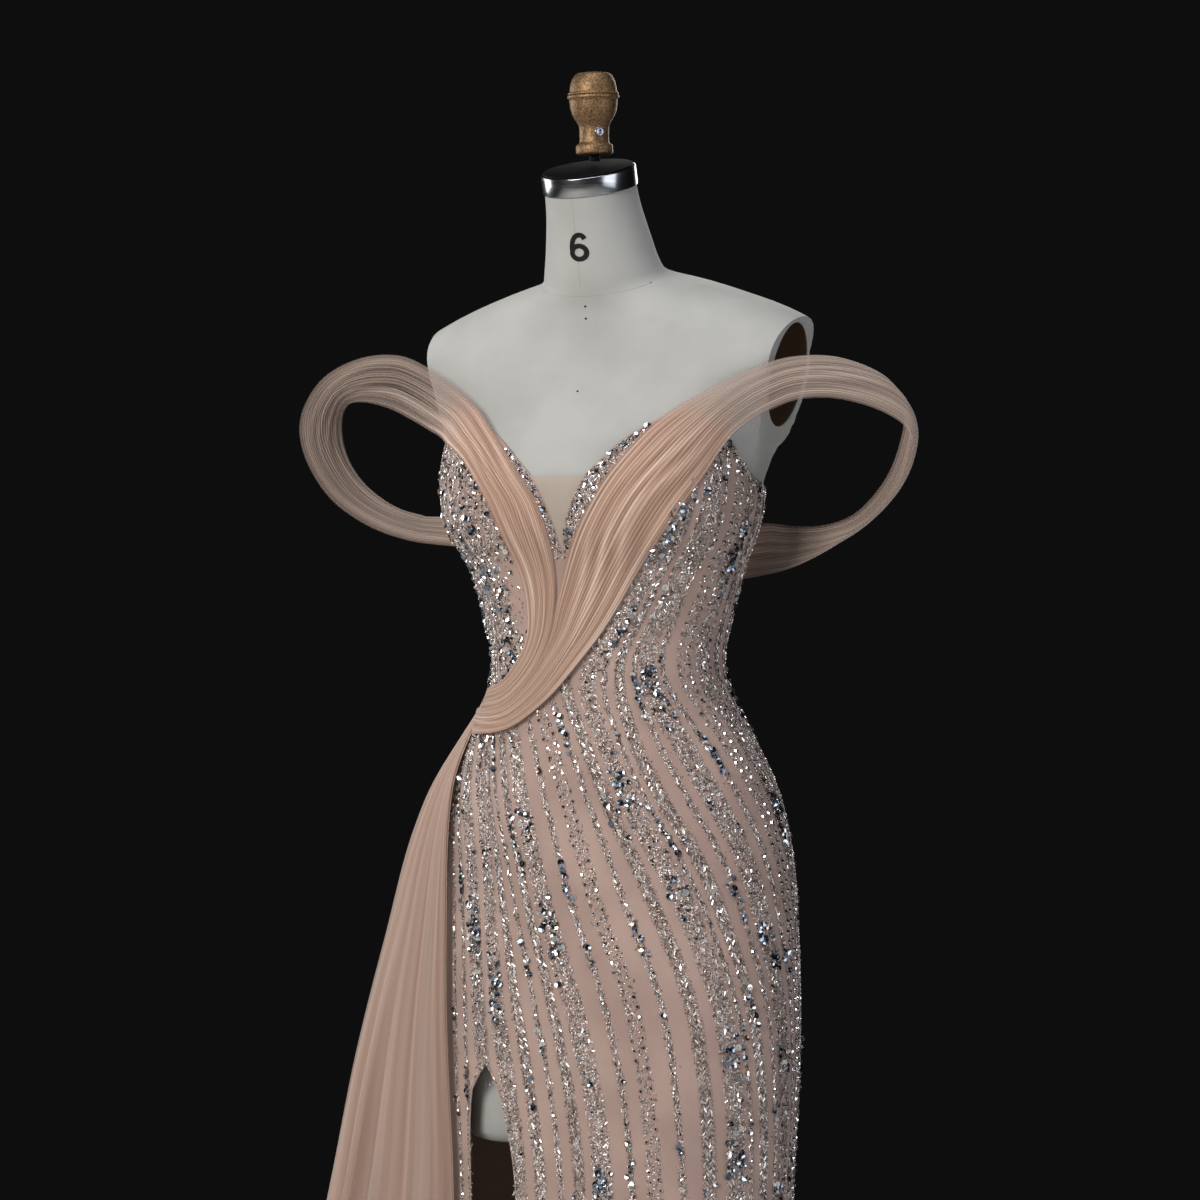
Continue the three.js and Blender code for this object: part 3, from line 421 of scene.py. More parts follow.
for name, ends in seamEnds.items():
    shell = gridPiece(name, ends["columns"], gownShell["rows"], panelPlace(ends), beadedTulle)
    wall = shell.modifiers.new("wall", "SOLIDIFY")
    wall.thickness = gownShell["thick"] * mm
    wall.offset = -1
    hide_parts(ends["node"])
print("gown shell made")


# The mesh insert in the plunge
def insertPlace(across, up):
    angle = mix(-10, 10, across)
    low = gownTop(angle) - 1.0
    return onSkin(angle, mix(low, np.maximum(1257, low + 2), up), -0.9)


insert = gridPiece("plunge_insert", 40, 24, insertPlace, nudeMesh)
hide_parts("plunge_mesh")

# The photograph's viewpoint: 25 degrees to the wearer's left of the front, level, 4 m away
view = {"turn": 25, "height": 1142, "away": 4000, "aside": -7.6, "pixelsPerMm": 1.05, "frame": 1200}
viewTurn = math.radians(view["turn"])
viewRight = np.array([math.cos(viewTurn), math.sin(viewTurn), 0])
viewNear = np.array([math.sin(viewTurn), -math.cos(viewTurn), 0])

# Sashes: the stations of the solids. Columns are turns and heights on the body, and places as seen in the air
leftSash = {
    "onBody": [  # first turn and height, second turn and height, lift
        (-70, 1035, -57, 1011, 5.4), (-47, 1039, -36, 1015, 5.4), (-33.2, 1047, -23.2, 1023, 5.4),
        (-18.5, 1073, -6.5, 1053, 5.2), (-8.2, 1109, 10.8, 1094, 4.8), (-4.2, 1142, 20.8, 1123, 3.4),
        (1, 1180, 32.5, 1174, 2), (6.2, 1209, 39.5, 1207, 1.4), (16, 1252, 46.2, 1237, 1.4),
        (28.2, 1294, 54.5, 1268, 1.6), (37, 1317, 62.5, 1294, 3)],
    "inAir": [  # first across, height and toward, then the second edge's
        (92, 1344, 113, 130, 1311, 112), (126, 1364, 112, 149, 1325, 120), (173, 1376, 104, 183, 1335, 122),
        (221, 1376, 108, 221, 1335, 130), (269, 1356, 112, 264, 1322, 148), (284, 1320, 120, 290, 1304, 166),
        (278, 1288, 122, 288, 1275, 166), (264, 1254, 104, 273, 1245, 145), (235, 1221, 62, 242, 1215, 100),
        (202, 1211, 12, 205, 1187, 42), (173, 1213, -14, 173, 1172, 10), (149, 1215, -18, 142, 1164, -8)],
    "join": (142, 1208, 138, 1158, 1),
    "bow": 9,
}
rightSash = {
    "onBody": [
        (-71, 1056, -70, 1036, 2), (-47.8, 1063, -47, 1039, 2), (-38, 1072, -33.2, 1047, 2),
        (-28.5, 1090, -18.5, 1073, 1.8), (-22, 1111, -8.2, 1109, 1.5), (-20, 1142, -4.2, 1142, 1.2),
        (-22, 1177, -3.4, 1175, 1), (-23.5, 1207, -4, 1204, 1.2), (-27, 1237, -7.2, 1237, 1.4),
        (-33.5, 1263, -16, 1266, 1.4), (-40.8, 1280, -24, 1292, 1.8), (-58, 1294, -40, 1330, 4)],
    "inAir": [
        (-167, 1301, -33, -146, 1350, -4), (-187, 1315, -55, -170, 1368, -24),
        (-206, 1324, -70, -198, 1377, -42),
        (-230, 1331, -92, -234, 1375, -64), (-248, 1330, -114, -270, 1358, -84),
        (-254, 1315, -130, -290, 1330, -98),
        (-252, 1289, -140, -296, 1302, -106), (-243, 1267, -146, -287, 1270, -111),
        (-227, 1247, -152, -265, 1236, -116), (-202, 1229, -156, -231, 1212, -118),
        (-179, 1223, -155, -195, 1200, -116), (-159, 1221, -146, -157, 1194, -110)],
    "join": (-143, 1226, -139, 1186, 1),
    "bow": 5,
}


def seen(across, height, toward):  # a place as the viewpoint sees it
    draw = 1 - toward / view["away"]
    point = viewRight * across * draw + viewNear * toward
    point[2] = mix(view["height"], height, draw)
    return point


def sashStations(sash):
    onGown = lambda r: (onSkin(r[0], r[1], r[4]), onSkin(r[2], r[3], r[4]), r[4], 1.0)
    free = lambda r: (seen(*r[:3]), seen(*r[3:]), 3.0, 0.0)
    rows = [onGown(r) for r in sash["onBody"]] + [free(r) for r in sash["inAir"]] + [onGown(sash["join"])]
    firsts, seconds, lifts, hugs = (np.array(column, float) for column in zip(*rows))
    leaves = len(sash["onBody"])
    for edge in (firsts, seconds):  # the pull of the cloth evens out its bends, most where it leaves the body
        for i in [leaves - 1, leaves, leaves + 1] * 2:
            edge[i] = mix(edge[i], (edge[i - 1] + edge[i + 1]) / 2, 0.4)
        for i in [*range(2, len(rows) - 3)] * 2:
            edge[i] = mix(edge[i], (edge[i - 1] + edge[i + 1]) / 2, 0.14)
    hugs[leaves - 2 : leaves + 1] = (0.9, 0.5, 0.15)
    return firsts, seconds, lifts, hugs


def along(values, at):
    last = len(values) - 1
    i = np.minimum(np.floor(at).astype(int), last - 1)
    t = at - i
    a, b, c, d = (values[np.clip(i + k, 0, last)] for k in (-1, 0, 1, 2))
    if values.ndim == 1:
        return mix(b, c, t)
    t = t[:, None]
    return 0.5 * (2 * b + (c - a) * t + (2 * a - 5 * b + 4 * c - d) * t**2 + (3 * b - a - 3 * c + d) * t**3)


def sashPoint(sash, stations, at, share, out):
    firsts, seconds, lifts, hugs = stations
    first, second = along(firsts, at), along(seconds, at)
    hug, lift = along(hugs, at), along(lifts, at)
    last = len(firsts) - 1
    middle = lambda k: along(firsts, k) + along(seconds, k)
    path = middle(np.minimum(at + 0.02, last)) - middle(np.maximum(at - 0.02, 0))
    normal = unit(np.cross(second - first, path))
    chord = mix(first, second, share[:, None])
    near = onSkin(angleAt(chord), chord[:, 2], lift + out)
    away = chord + normal * (out + sash["bow"] * 4 * share * (1 - share))[:, None]
    return mix(away, near, smoothstep(hug)[:, None])


pleats = {"count": 24, "folds": 5, "columns": 6, "deep": 1.5, "floor": 0.5, "wander": 0.6, "rows": 170}


# 0 in a valley, 1 on a ridge: fine pleats of uneven width over a few broad folds
def pleatFold(share, at, seed):
    rng = np.random.default_rng(seed)
    result = 0
    for count, weight in ((pleats["count"], 0.6), (pleats["folds"], 0.4)):
        edges = np.cumsum(rng.uniform(0.45, 1.6, count + 1))
        edges = (edges - edges[0]) / (edges[-1] - edges[0])
        wander = sum(a * np.sin(at * f + p) for a, f, p in zip(rng.uniform(0.3, 0.8, 3), (0.4, 0.8, 1.5),
                                                               rng.uniform(0, 6, 3)))
        place = np.interp(share, edges, np.arange(count + 1))
        place = np.clip(place + pleats["wander"] * wander * np.sin(np.pi * share), 0, count - 1e-6)
        which = np.floor(place).astype(int)
        tall, sharp, phase = (rng.uniform(a, b, count)[which] for a, b in ((0.35, 1), (0.55, 1.7), (0, 6)))
        fade = 0.78 + 0.22 * np.sin(0.9 * at + phase)
        result = result + weight * tall * fade * (1 - np.abs(2 * (place - which) - 1)) ** sharp
    return result


sashInfo = {
    "sash_left_tulle": {"node": "sash_left", "sash": leftSash, "seed": 3, "sheer": 0.2, "flat": (0.058, 1.1),
                        "back": "gown_back_left"},
    "sash_right_tulle": {"node": "sash_right", "sash": rightSash, "seed": 5, "sheer": 1, "flat": (0.05, 1.05),
                         "back": "gown_back_right"},
}
cover = np.zeros((360, 700), bool)  # where a sash covers the beading: a degree by two millimetres
for name, info in sashInfo.items():
    stations = sashStations(info["sash"])
    last = len(stations[0]) - 1
    onBody = len(info["sash"]["onBody"])

    def sashPlace(across, up):
        at = up * last
        fold = pleatFold(across, at, info["seed"])
        width = np.linalg.norm(along(stations[1], at) - along(stations[0], at), axis=1)
        edge = smoothstep(np.minimum(across, 1 - across) / 0.03)
        return sashPoint(info["sash"], stations, at, across,
                         (pleats["floor"] + pleats["deep"] * fold * np.clip(width / 55, 0.4, 1)) * edge)

    def inAir(across, up):
        at = up * last
        return smoothstep((at - onBody + 1.5) / 2) * smoothstep((last - at) / 1.5)

    def sashVeil(across, up):  # the selvedges are sheer, and in the air so are the valleys
        at = up * last
        air = inAir(across, up)
        edge = smoothstep(np.minimum(across, 1 - across) / 0.09)
        fold = pleatFold(across, at, info["seed"])
        body = 0.84 + 0.2 * np.clip(fold * 2, 0, 1)
        fan = info["sheer"] * np.exp(-(((at - onBody - 1.6) / 1.5) ** 2)) * np.sin(np.pi * across)
        thin = mix(0.5 + 0.45 * np.clip(fold * 2, 0, 1), 0.1 + 1.1 * np.clip(fold * 1.6, 0, 1), fan)
        return mix(body, thin, air) * (0.6 + 0.4 * edge)

    # fold sets the bump and also the painted shade in the valleys and painted highlight on the ridges; air
    # sets the greyer painted shade where the sash hangs free
    marks = {"fold": lambda a, u: 0.18 + 1.3 * pleatFold(a, u * last, info["seed"]), "veil": sashVeil,
             "across": lambda a, u: a, "along": lambda a, u: u, "air": lambda a, u: 0.75 * inAir(a, u)}
    piece = gridPiece(name, pleats["count"] * pleats["columns"], pleats["rows"], sashPlace, sashTulle, marks)
    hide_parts(info["node"])
    u, v = np.meshgrid(np.linspace(0.06, 0.94, 60), np.linspace(0, len(info["sash"]["onBody"]) - 1, 900))
    points = sashPoint(info["sash"], stations, v.ravel(), u.ravel(), 0 * u.ravel())
    turns = np.floor(angleAt(points)).astype(int) % 360
    cover[turns, np.clip((points[:, 2] / 2).astype(int), 0, 699)] = True
print("sashes made")

# Side train: an outer and an inner layer of sheer tulle
train = {"gatherLow": 1012, "gatherHigh": 1062, "crowd": 1.5, "drift": 0.05, "columns": 12, "rows": 90}
trainFall = {
    "down": [0, 0.05, 0.12, 0.22, 0.4, 0.6, 1],
    "frontTurn": [-72, -60, -53, -50, -48, -49, -50],
    "backTurn": [-80, -92, -104, -114, -120, -124, -128],
    "stand": [0, 4, 6, 6.5, 6.5, 6.5, 6.5],
    "flare": [0, 10, 24, 46, 92, 136, 205],
    "fold": [0.6, 1.5, 3, 5, 8, 11, 16],
}
trainLayers = {
    "train_outer_tulle": {"node": "train_outer", "lift": 3.9, "flare": 1, "folds": 9, "fold": 1,
                          "flat": (0.5, 1.05)},
    "train_inner_tulle": {"node": "train_inner", "lift": 2.1, "flare": 0.6, "folds": 7, "fold": 0.8,
                          "flat": (0.4, 1.04)},
}


def drifted(across, down):  # the folds drift sideways on their way down
    return across + train["drift"] * np.sin(7 * across + 3 * down) * np.sin(np.pi * across)


for name, layer in trainLayers.items():

    def trainPlace(across, up):
        down = (1 - up) ** train["crowd"]
        read = lambda column: readTable(trainFall, "down", down, column)
        angle = mix(read("backTurn"), read("frontTurn"), across)
        start = mix(train["gatherHigh"], train["gatherLow"], across)
        height = mix(start, hem, down)
        belly = np.sin(np.pi * across)
        folds = 2 * np.pi * layer["folds"]
        wave = -np.cos(folds * drifted(across, down)) + 0.25 * np.sin(2.3 * folds * across + 4 * down)
        lift = read("flare") * layer["flare"] * belly**0.8 + read("fold") * layer["fold"] * belly * wave
        point = onSkin(angle, height, layer["lift"] + read("stand") + np.maximum(lift, 0), 0)
        point[:, 2] = height
        return point

    def trainFold(across, up):
        return 0.5 - 0.5 * np.cos(2 * np.pi * layer["folds"] * drifted(across, (1 - up) ** train["crowd"]))

    # fine creases: painted shade and painted highlight in the colour only, with no fold in the sheet; also
    # used for how closely it covers
    def fineFold(across, up):
        return 0.5 + 0.5 * np.sin(180 * across + 9 * np.sin(11 * across + 2 * up)) * np.sin(37 * across)

    def trainVeil(across, up):  # closer in the valleys and where it is gathered
        return np.clip(0.42 + 0.22 * (1 - trainFold(across, up)) + 0.16 * fineFold(across, up) + 0.6 * up**7,
                       0, 1)

    # fold is painted shade in the valleys and painted highlight on the ridges of the folds, with the fine
    # creases painted on top
    marks = {"fold": lambda a, u: 0.2 + 0.45 * trainFold(a, u) + 0.3 * fineFold(a, u), "veil": trainVeil,
             "across": lambda a, u: a, "along": lambda a, u: u}
    piece = gridPiece(name, layer["folds"] * train["columns"], train["rows"], trainPlace, trainTulle, marks)
    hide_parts(layer["node"])
print("train made")


# Dress form: the solids' rings, finer
formSlack = {"height": [600, 980, 1050, 1110, 1290], "slack": [5, 4.5, 2.6, 2.3, 2.3]}
formSwell = 17
shoulderRings = {
    "level": [1290, 1320, 1345, 1370, 1388, 1404, 1420, 1434, 1443, 1450, 1462, 1490, 1520, 1542],
    "halfWidth": [156, 163, 184, 204, 206, 180, 143, 104, 76, 61, 56, 50, 45, 43],
    "front": [101, 90, 82, 76, 72, 68, 63, 58, 54, 52, 50, 47, 44, 43],
    "back": [99, 98, 92, 84, 80, 76, 70, 62, 57, 54, 50, 47, 44, 43],
    "centre": [2, 7, 14, 18, 18, 16, 11, 5, -2, -7, -13, -22, -32, -39],
    "square": [2, 2.1, 2.3, 2.5, 2.4, 2.2, 2, 2, 2, 2, 2, 2, 2, 2],
    "lean": [0, 3, 7, 12, 15, 17, 18, 18.5, 18, 17.5, 17, 17, 17, 17],
}


# Above 1290 a level is where the leaning plane meets the form's middle
def formPoint(angle, level, lift=0.0):
    angle, level = np.broadcast_arrays(np.asarray(angle, float), np.asarray(level, float))
    low = np.minimum(level, 1268)
    lower = onSkin(angle, low, lift - readTable(formSlack, "height", low, "slack"), formSwell)
    lower[..., 2] = low
    high = np.maximum(level, 1290)
    ring = lambda column: readTable(shoulderRings, "level", high, column)
    turn = np.radians(angle)
    power = 2 / ring("square")
    side = np.sign(np.sin(turn)) * np.abs(np.sin(turn)) ** power
    facing = np.sign(np.cos(turn)) * np.abs(np.cos(turn)) ** power
    swell = cupSwell((angle + 180) % 360 - 180, high, formSwell)
    y = ring("centre") - (np.where(facing > 0, ring("front"), ring("back")) + swell + lift) * facing
    upper = np.stack([(ring("halfWidth") + swell + lift) * side, y,
                      high + np.tan(np.radians(ring("lean"))) * y], -1)
    return mix(lower, upper, np.clip((level - 1268) / 22, 0, 1)[..., None])


arm = {"foot": 164, "footHeight": 1300, "lean": 12, "middleY": 24, "middleHeight": 1354, "high": 50,
       "wide": 41,
       "recess": 3, "thick": 2.2, "gap": 0.3, "above": 1272}
armFoot = {  # how the cloth is drawn out flush round the foot of the plate, and eased out below it
    "from": -28, "out": 0.8, "in": -0.5, "turnsIn": 58, "ease": 14, "narrow": (0.55, 0.85), "reach": 1.5,
    "soft": 0.34, "easeFrom": 84, "easeOver": 42, "deepest": 45}
formLow = 770
formHigh = 1542


def armFrame(side):  # its z points out of the flat arm cut
    x = arm["foot"] + (arm["middleHeight"] - arm["footHeight"]) * math.tan(math.radians(arm["lean"]))
    turn = Matrix.Rotation(side * (math.pi / 2 + math.radians(arm["lean"])), 4, "Y")
    return Matrix.Translation(Vector((side * x, arm["middleY"], arm["middleHeight"])) * mm) @ turn


# A tube of rings with closed ends, made from a grid whose two long edges are joined
def addLoft(bm, sides, rows, place):
    made = bmesh.ops.create_grid(bm, x_segments=sides, y_segments=rows, size=0.5)["verts"]
    shares = np.array([v.co[:2] for v in made]) + 0.5
    for vertex, point in zip(made, place(shares[:, 0], shares[:, 1]) * mm):
        vertex.co = point
    bmesh.ops.remove_doubles(bm, verts=made, dist=1e-7)
    rims = [e for e in bm.edges if e.is_boundary]
    bmesh.ops.holes_fill(bm, edges=rims, sides=0)
    return bm


body = addLoft(bmesh.new(), 108, 140, lambda a, u: formPoint(360 * a - 180, mix(formLow, formHigh, u)))
for side in (-1, 1):
    there = armFrame(side)
    back = there.inverted()
    for v in body.verts:
        p = (back @ v.co) / mm
        down = p.x * side
        narrow = mix(*armFoot["narrow"], float(smoothstep((p.y + 15) / 30)))
        reach = math.hypot(narrow * max(down, 0) / arm["high"], p.y / arm["wide"])
        if -30 < down < 130 and reach < armFoot["reach"] and abs(p.z) < armFoot["deepest"]:
            flush = mix(armFoot["out"], armFoot["in"],
                        float(smoothstep((down - armFoot["turnsIn"]) / armFoot["ease"])))
            share = smoothstep((down - armFoot["from"]) / armFoot["ease"])
            share = share * smoothstep((armFoot["reach"] - reach) / armFoot["soft"])
            p.z = mix(p.z, max(p.z, flush), float(share))
        if 72 < down < 130 and 0 < p.z < 30:
            p.z = mix(0, p.z, float(smoothstep((down - armFoot["easeFrom"]) / armFoot["easeOver"])))
        v.co = there @ (p * mm)
    faces = [f for f in body.faces if min(v.co.z for v in f.verts) > arm["above"] * mm]
    near = {v for f in faces for v in f.verts} | {e for f in faces for e in f.edges} | set(faces)
    made = bmesh.ops.bisect_plane(body, geom=list(near), plane_co=there.translation,
                                  plane_no=there.to_3x3() @ Vector((0, 0, 1)), clear_outer=True)["geom_cut"]
    rim = [e for e in made if isinstance(e, bmesh.types.BMEdge)]
    for slide in (0, -arm["recess"]):  # in to the oval, then down to the recess
        for edge in rim:
            edge.smooth = False
        made = bmesh.ops.extrude_edge_only(body, edges=rim)["geom"]
        rim = [e for e in made if isinstance(e, bmesh.types.BMEdge) and e.is_boundary]
        ring = [v for v in made if isinstance(v, bmesh.types.BMVert)]
        turnOf = lambda v: math.atan2((back @ v.co).y / arm["wide"], (back @ v.co).x / arm["high"])
        for v, turn in [(v, turnOf(v)) for v in ring]:
            v.co = there @ (Vector((arm["high"] * math.cos(turn), arm["wide"] * math.sin(turn), slide)) * mm)
    for edge in rim:
        edge.smooth = False
    bmesh.ops.holes_fill(body, edges=rim, sides=0)
thigh = {"x": 90, "y": 20, "halfWidth": 67, "halfDepth": 80, "top": 850, "end": 625, "round": 14}


def thighPlace(side):
    def place(a, u):
        turn = 2 * math.pi * a
        rim = np.clip(u / 0.12, 0, 1)
        height = np.where(u < 0.12, thigh["end"] + thigh["round"] * (1 - np.cos(rim * math.pi / 2)),
                          mix(thigh["end"] + thigh["round"], thigh["top"], (u - 0.12) / 0.88))
        shrink = thigh["round"] * (1 - np.sin(rim * math.pi / 2)) + 14 * np.clip((height - 700) / 150, 0,
                                                                                 1) ** 2
        taper = 1 - 0.0005 * (thigh["top"] - height)
        x = side * thigh["x"] + (thigh["halfWidth"] * taper - shrink) * np.sin(turn)
        return np.stack([x, thigh["y"] - (thigh["halfDepth"] * taper - shrink) * np.cos(turn), height], -1)

    return place


for side in (-1, 1):
    addLoft(body, 48, 20, thighPlace(side))
bmesh.ops.recalc_face_normals(body, faces=body.faces)
formBody = keep("form_body", body, formCloth)
formBody.modifiers.new("edges", "EDGE_SPLIT").split_angle = math.radians(40)
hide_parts("dress_form")


# Seams of the cover, as narrow raised welts on the form
weltSize = {"wide": 0.5, "lift": 0.16}


def welt(name, angles, levels):
    keys = np.linspace(0, 1, len(angles))

    def place(across, up):
        at = lambda u, lift=0.0: formPoint(np.interp(u, keys, angles), np.interp(u, keys, levels), lift)
        middle = at(up)
        outwards = unit(at(up, 1.0) - middle)
        side = unit(np.cross(at(up + 1e-3) - at(up - 1e-3), outwards))
        rise = weltSize["lift"] * np.sin(np.pi * across)
        return middle + side * (across[:, None] - 0.5) * 2 * weltSize["wide"] + outwards * rise[:, None]

    gridPiece(name, 5, 16 * len(angles), place, seamCloth)


welt("form_front_seam", [0] * 9, np.linspace(1455, 1540, 9))
welt("form_back_seam", [180] * 9, np.linspace(1226, 1540, 9))
around = np.linspace(-180, 180, 37)
welt("form_neck_seam", around, 1451 - 5 * np.cos(np.radians(around)))
for side, word in ((-1, "right"), (1, "left")):
    welt(f"form_shoulder_seam_{word}", [side * 93] * 9, np.linspace(1392, 1448, 9))
dots = [(0.8, 1436), (0.6, 1424), (0, 1346), (66, 1449)]
spot = bmesh.new()
bmesh.ops.create_circle(spot, segments=10, radius=1, cap_ends=True)
where = np.array([formPoint(a, z, 0.35) for a, z in dots])
facing = unit(np.array([formPoint(a, z, 1.0) - formPoint(a, z) for a, z in dots]))
across = unit(np.cross(np.array([0, 0, 1.0]), facing))
marks = joinedCopies("form_pin_marks", spot, where, np.stack([across, np.cross(facing, across), facing], 1),
                     np.tile([1.1, 1.1, 1.0], (4, 1)), np.zeros(4), inkBlack)

# The size number: one brush stroke of even width, laid round the neck
number = {"turn": 2.6, "level": 1494, "stroke": 4.9}
hook = [(6.4, 7.6), (4.6, 10.8), (1.2, 11.9), (-2.6, 10.6), (-5.4, 6.4), (-6.6, 0.8)]
bowlTurns = np.radians(np.linspace(166, 166 + 352, 25))
path = np.array(hook + [(6.75 * math.cos(t), -5.3 + 6.5 * math.sin(t)) for t in bowlTurns])


def numberPlace(across, up):
    at = up * (len(path) - 1)
    middle = along(path, at)
    ahead = along(path, np.minimum(at + 0.05, len(path) - 1)) - along(path, np.maximum(at - 0.05, 0))
    side = unit(np.stack([ahead[:, 1], -ahead[:, 0]], -1))
    flat = middle + side * ((across - 0.5) * number["stroke"])[:, None]
    return formPoint(number["turn"] + np.degrees(flat[:, 0] / 47), number["level"] + flat[:, 1],
                     0.25 + 0.1 * up)


sizeNumber = gridPiece("form_size_number", 4, 120, numberPlace, inkBlack)
print("form made")


# Turned hardware: profiles of radius and height, spun and rounded
def turned(name, profile, finish, place, sides=48, soften=None, bevel=0.6):
    bm = bmesh.new()
    chain = [bm.verts.new((r * mm, 0, z * mm)) for r, z in profile]
    edges = [bm.edges.new(pair) for pair in zip(chain, chain[1:])]
    bmesh.ops.spin(bm, geom=chain + edges, cent=(0, 0, 0), axis=(0, 0, 1), angle=2 * math.pi, steps=sides,
                   use_merge=True)
    bmesh.ops.remove_doubles(bm, verts=bm.verts, dist=1e-7)
    if soften:
        sharp = [e for e in bm.edges if e.is_manifold and e.calc_face_angle(0) > math.radians(soften)]
        bmesh.ops.bevel(bm, geom=sharp, offset=bevel * mm, segments=3, profile=0.5, affect="EDGES",
                        material=-1)
    bmesh.ops.recalc_face_normals(bm, faces=bm.faces)
    bmesh.ops.transform(bm, verts=bm.verts, matrix=place)
    piece = keep(name, bm, finish)
    piece.modifiers.new("edges", "EDGE_SPLIT").split_angle = math.radians(50)
    return piece


neckLean = math.radians(17)
capFoot = Vector((0, -39, 1542 + math.tan(neckLean) * -39)) * mm
cap = {"radius": 45, "high": 18, "plate": 1.5, "gap": 0.3}


def onNeck(up):
    rise = Vector((0, -math.sin(neckLean), math.cos(neckLean))) * up * mm
    return Matrix.Translation(capFoot + rise) @ Matrix.Rotation(neckLean, 4, "X")


r, high = cap["radius"], cap["high"]
ring = turned("neck_cap_band", [(0, 0), (r, 0), (r, high), (r - 3.2, high), (r - 3.2, high - 0.8),
                                (0, high - 0.8)],
              polishedSteel, onNeck(cap["gap"]), 72, 40, 0.7)
plate = turned("neck_cap_top", [(0, 0), (r - 2, 0), (r - 2, cap["plate"]), (0, cap["plate"])], blackPlastic,
               onNeck(high + 2 * cap["gap"]), 72, 40, 0.4)

knobPlace = Matrix.Translation(Vector((0, -30, 1563)) * mm) @ Matrix.Rotation(math.radians(3), 4, "X")
stem = turned("knob_pin", [(0, -6), (5, -6), (5, -0.3), (0, -0.3)], blackPlastic, knobPlace, 32)
bowl = turned("knob_cast_bowl", [(0, 0), (15.6, 0), (17.2, 1), (17.6, 2.6), (17.6, 8), (16.8, 9.6),
                                 (14.6, 10.8),
                                 (14.0, 12.5), (13.9, 24), (14.3, 27), (15.8, 30), (18.4, 34), (20.8, 39),
                                 (22.2, 44.5),
                                 (22.8, 50), (23.2, 52.6), (24.6, 53.6), (24.6, 55.6), (23.8, 56.1),
                                 (0, 56.1)],
              goldPaint, knobPlace, 64, 55, 0.4)
dome = turned("knob_cast_dome", [(0, 0), (23.6, 0), (24.2, 0.6), (24.2, 1.8), (22.6, 2.8), (22.1, 7),
                                 (21.2, 11.5), (19.4, 16), (17, 19.2), (14.4, 20.8), (9, 21.5), (0, 21.6)],
              goldPaint, knobPlace @ Matrix.Translation((0, 0, 56.3 * mm)), 64, 55, 0.4)
screwTurn = Matrix.Rotation(math.radians(42), 4, "Z")
screwPlace = knobPlace @ screwTurn @ Matrix.Translation(Vector((0, -12.4,
                                                                21)) * mm) @ Matrix.Rotation(math.pi / 2, 4,
                                                                                             "X")
screw = turned("set_screw", [(0, 0), (4.4, 0), (4.4, 4.6), (3.9, 5), (2.3, 5), (2.3, 3.2), (0, 3.2)],
               screwSteel,
               screwPlace, 32, 40, 0.2)

flatBase = Matrix.Identity(4)
base = turned("stand_foot", [(0, 0), (136, 0), (138, 2), (138, 15), (136, 19), (131, 22), (60, 24.4),
                             (42, 25.6),
                             (34, 29), (30.5, 34), (28.5, 42), (25.5, 60), (24, 69), (22, 70), (0, 70)],
              satinSteel, flatBase, 96, 60, 0.8)
pole = turned("stand_tube", [(0, 70.3), (14, 70.3), (14, 763.7), (19, 763.7), (19, 769.7), (0, 769.7)],
              satinSteel,
              flatBase, 40, 60, 0.6)
for piece, node, slot in [
    (ring, "neck_cap_ring", "polished_steel"), (plate, "neck_cap_plate", "black_plate"),
    (stem, "knob_stem", "black_plate"), (bowl, "knob_bowl", "gold_paint"), (dome, "knob_dome", "gold_paint"),
    (screw, "knob_set_screw", "stand_steel"), (base, "stand_base", "stand_steel"),
    (pole, "stand_pole", "stand_steel")]:
    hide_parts(node)

for side, word in ((-1, "right"), (1, "left")):
    there = armFrame(side) @ Matrix.Translation((0, 0, (arm["gap"] - arm["recess"]) * mm))
    bm = bmesh.new()
    bmesh.ops.create_circle(bm, segments=96, radius=1, cap_ends=True)
    bmesh.ops.scale(bm, verts=bm.verts, vec=Vector((arm["high"] - 0.3, arm["wide"] - 0.3, 1)) * mm)
    top = bmesh.ops.extrude_face_region(bm, geom=bm.faces[:])["geom"]
    bmesh.ops.translate(bm, verts=[v for v in top if isinstance(v, bmesh.types.BMVert)],
                        vec=(0, 0, arm["thick"] * mm))
    bmesh.ops.recalc_face_normals(bm, faces=bm.faces)
    rim = [e for e in bm.edges if e.calc_face_angle(0) > 1]
    bmesh.ops.bevel(bm, geom=rim, offset=0.6 * mm, segments=3, profile=0.5, affect="EDGES", material=-1)
    bmesh.ops.transform(bm, verts=bm.verts, matrix=there)
    plate = keep(f"arm_cover_{word}", bm, armPlastic)
    plate.modifiers.new("edges", "EDGE_SPLIT").split_angle = math.radians(50)
    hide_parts(f"arm_plate_{word}")
print("hardware made")

# Concealed zip: two rows of small coils and a slider
zipper = {"low": 980, "high": 1212, "pitch": 1.6}
coil = bmesh.new()
bmesh.ops.create_cone(coil, segments=5, radius1=1, radius2=1, depth=1, cap_ends=True)
bmesh.ops.rotate(coil, verts=coil.verts, cent=(0, 0, 0), matrix=Matrix.Rotation(math.pi / 2, 3, "Y"))
levels = np.arange(zipper["low"], zipper["high"], zipper["pitch"])
turns = 180 + np.tile([-0.5, 0.5], len(levels))
levels = np.repeat(levels, 2) + np.tile([0, 0.8], len(levels))
where = onSkin(turns, levels, 0.85)
outwards = skinNormal(turns, levels)
side = unit(np.cross(np.array([0, 0, 1.0]), outwards))
coils = joinedCopies("zip_coils", coil, where, np.stack([side, np.cross(outwards, side), outwards], 1),
                     np.tile([1.5, 0.62, 0.6], (len(levels), 1)), np.zeros(len(levels)), zipNylon)
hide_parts("zip_coil")
seat = onSkin(180, 1217, 2.3)
bm = bmesh.new()
bmesh.ops.create_cube(bm, size=1)
bmesh.ops.scale(bm, verts=bm.verts, vec=Vector((6.6, 3.4, 8)) * mm)
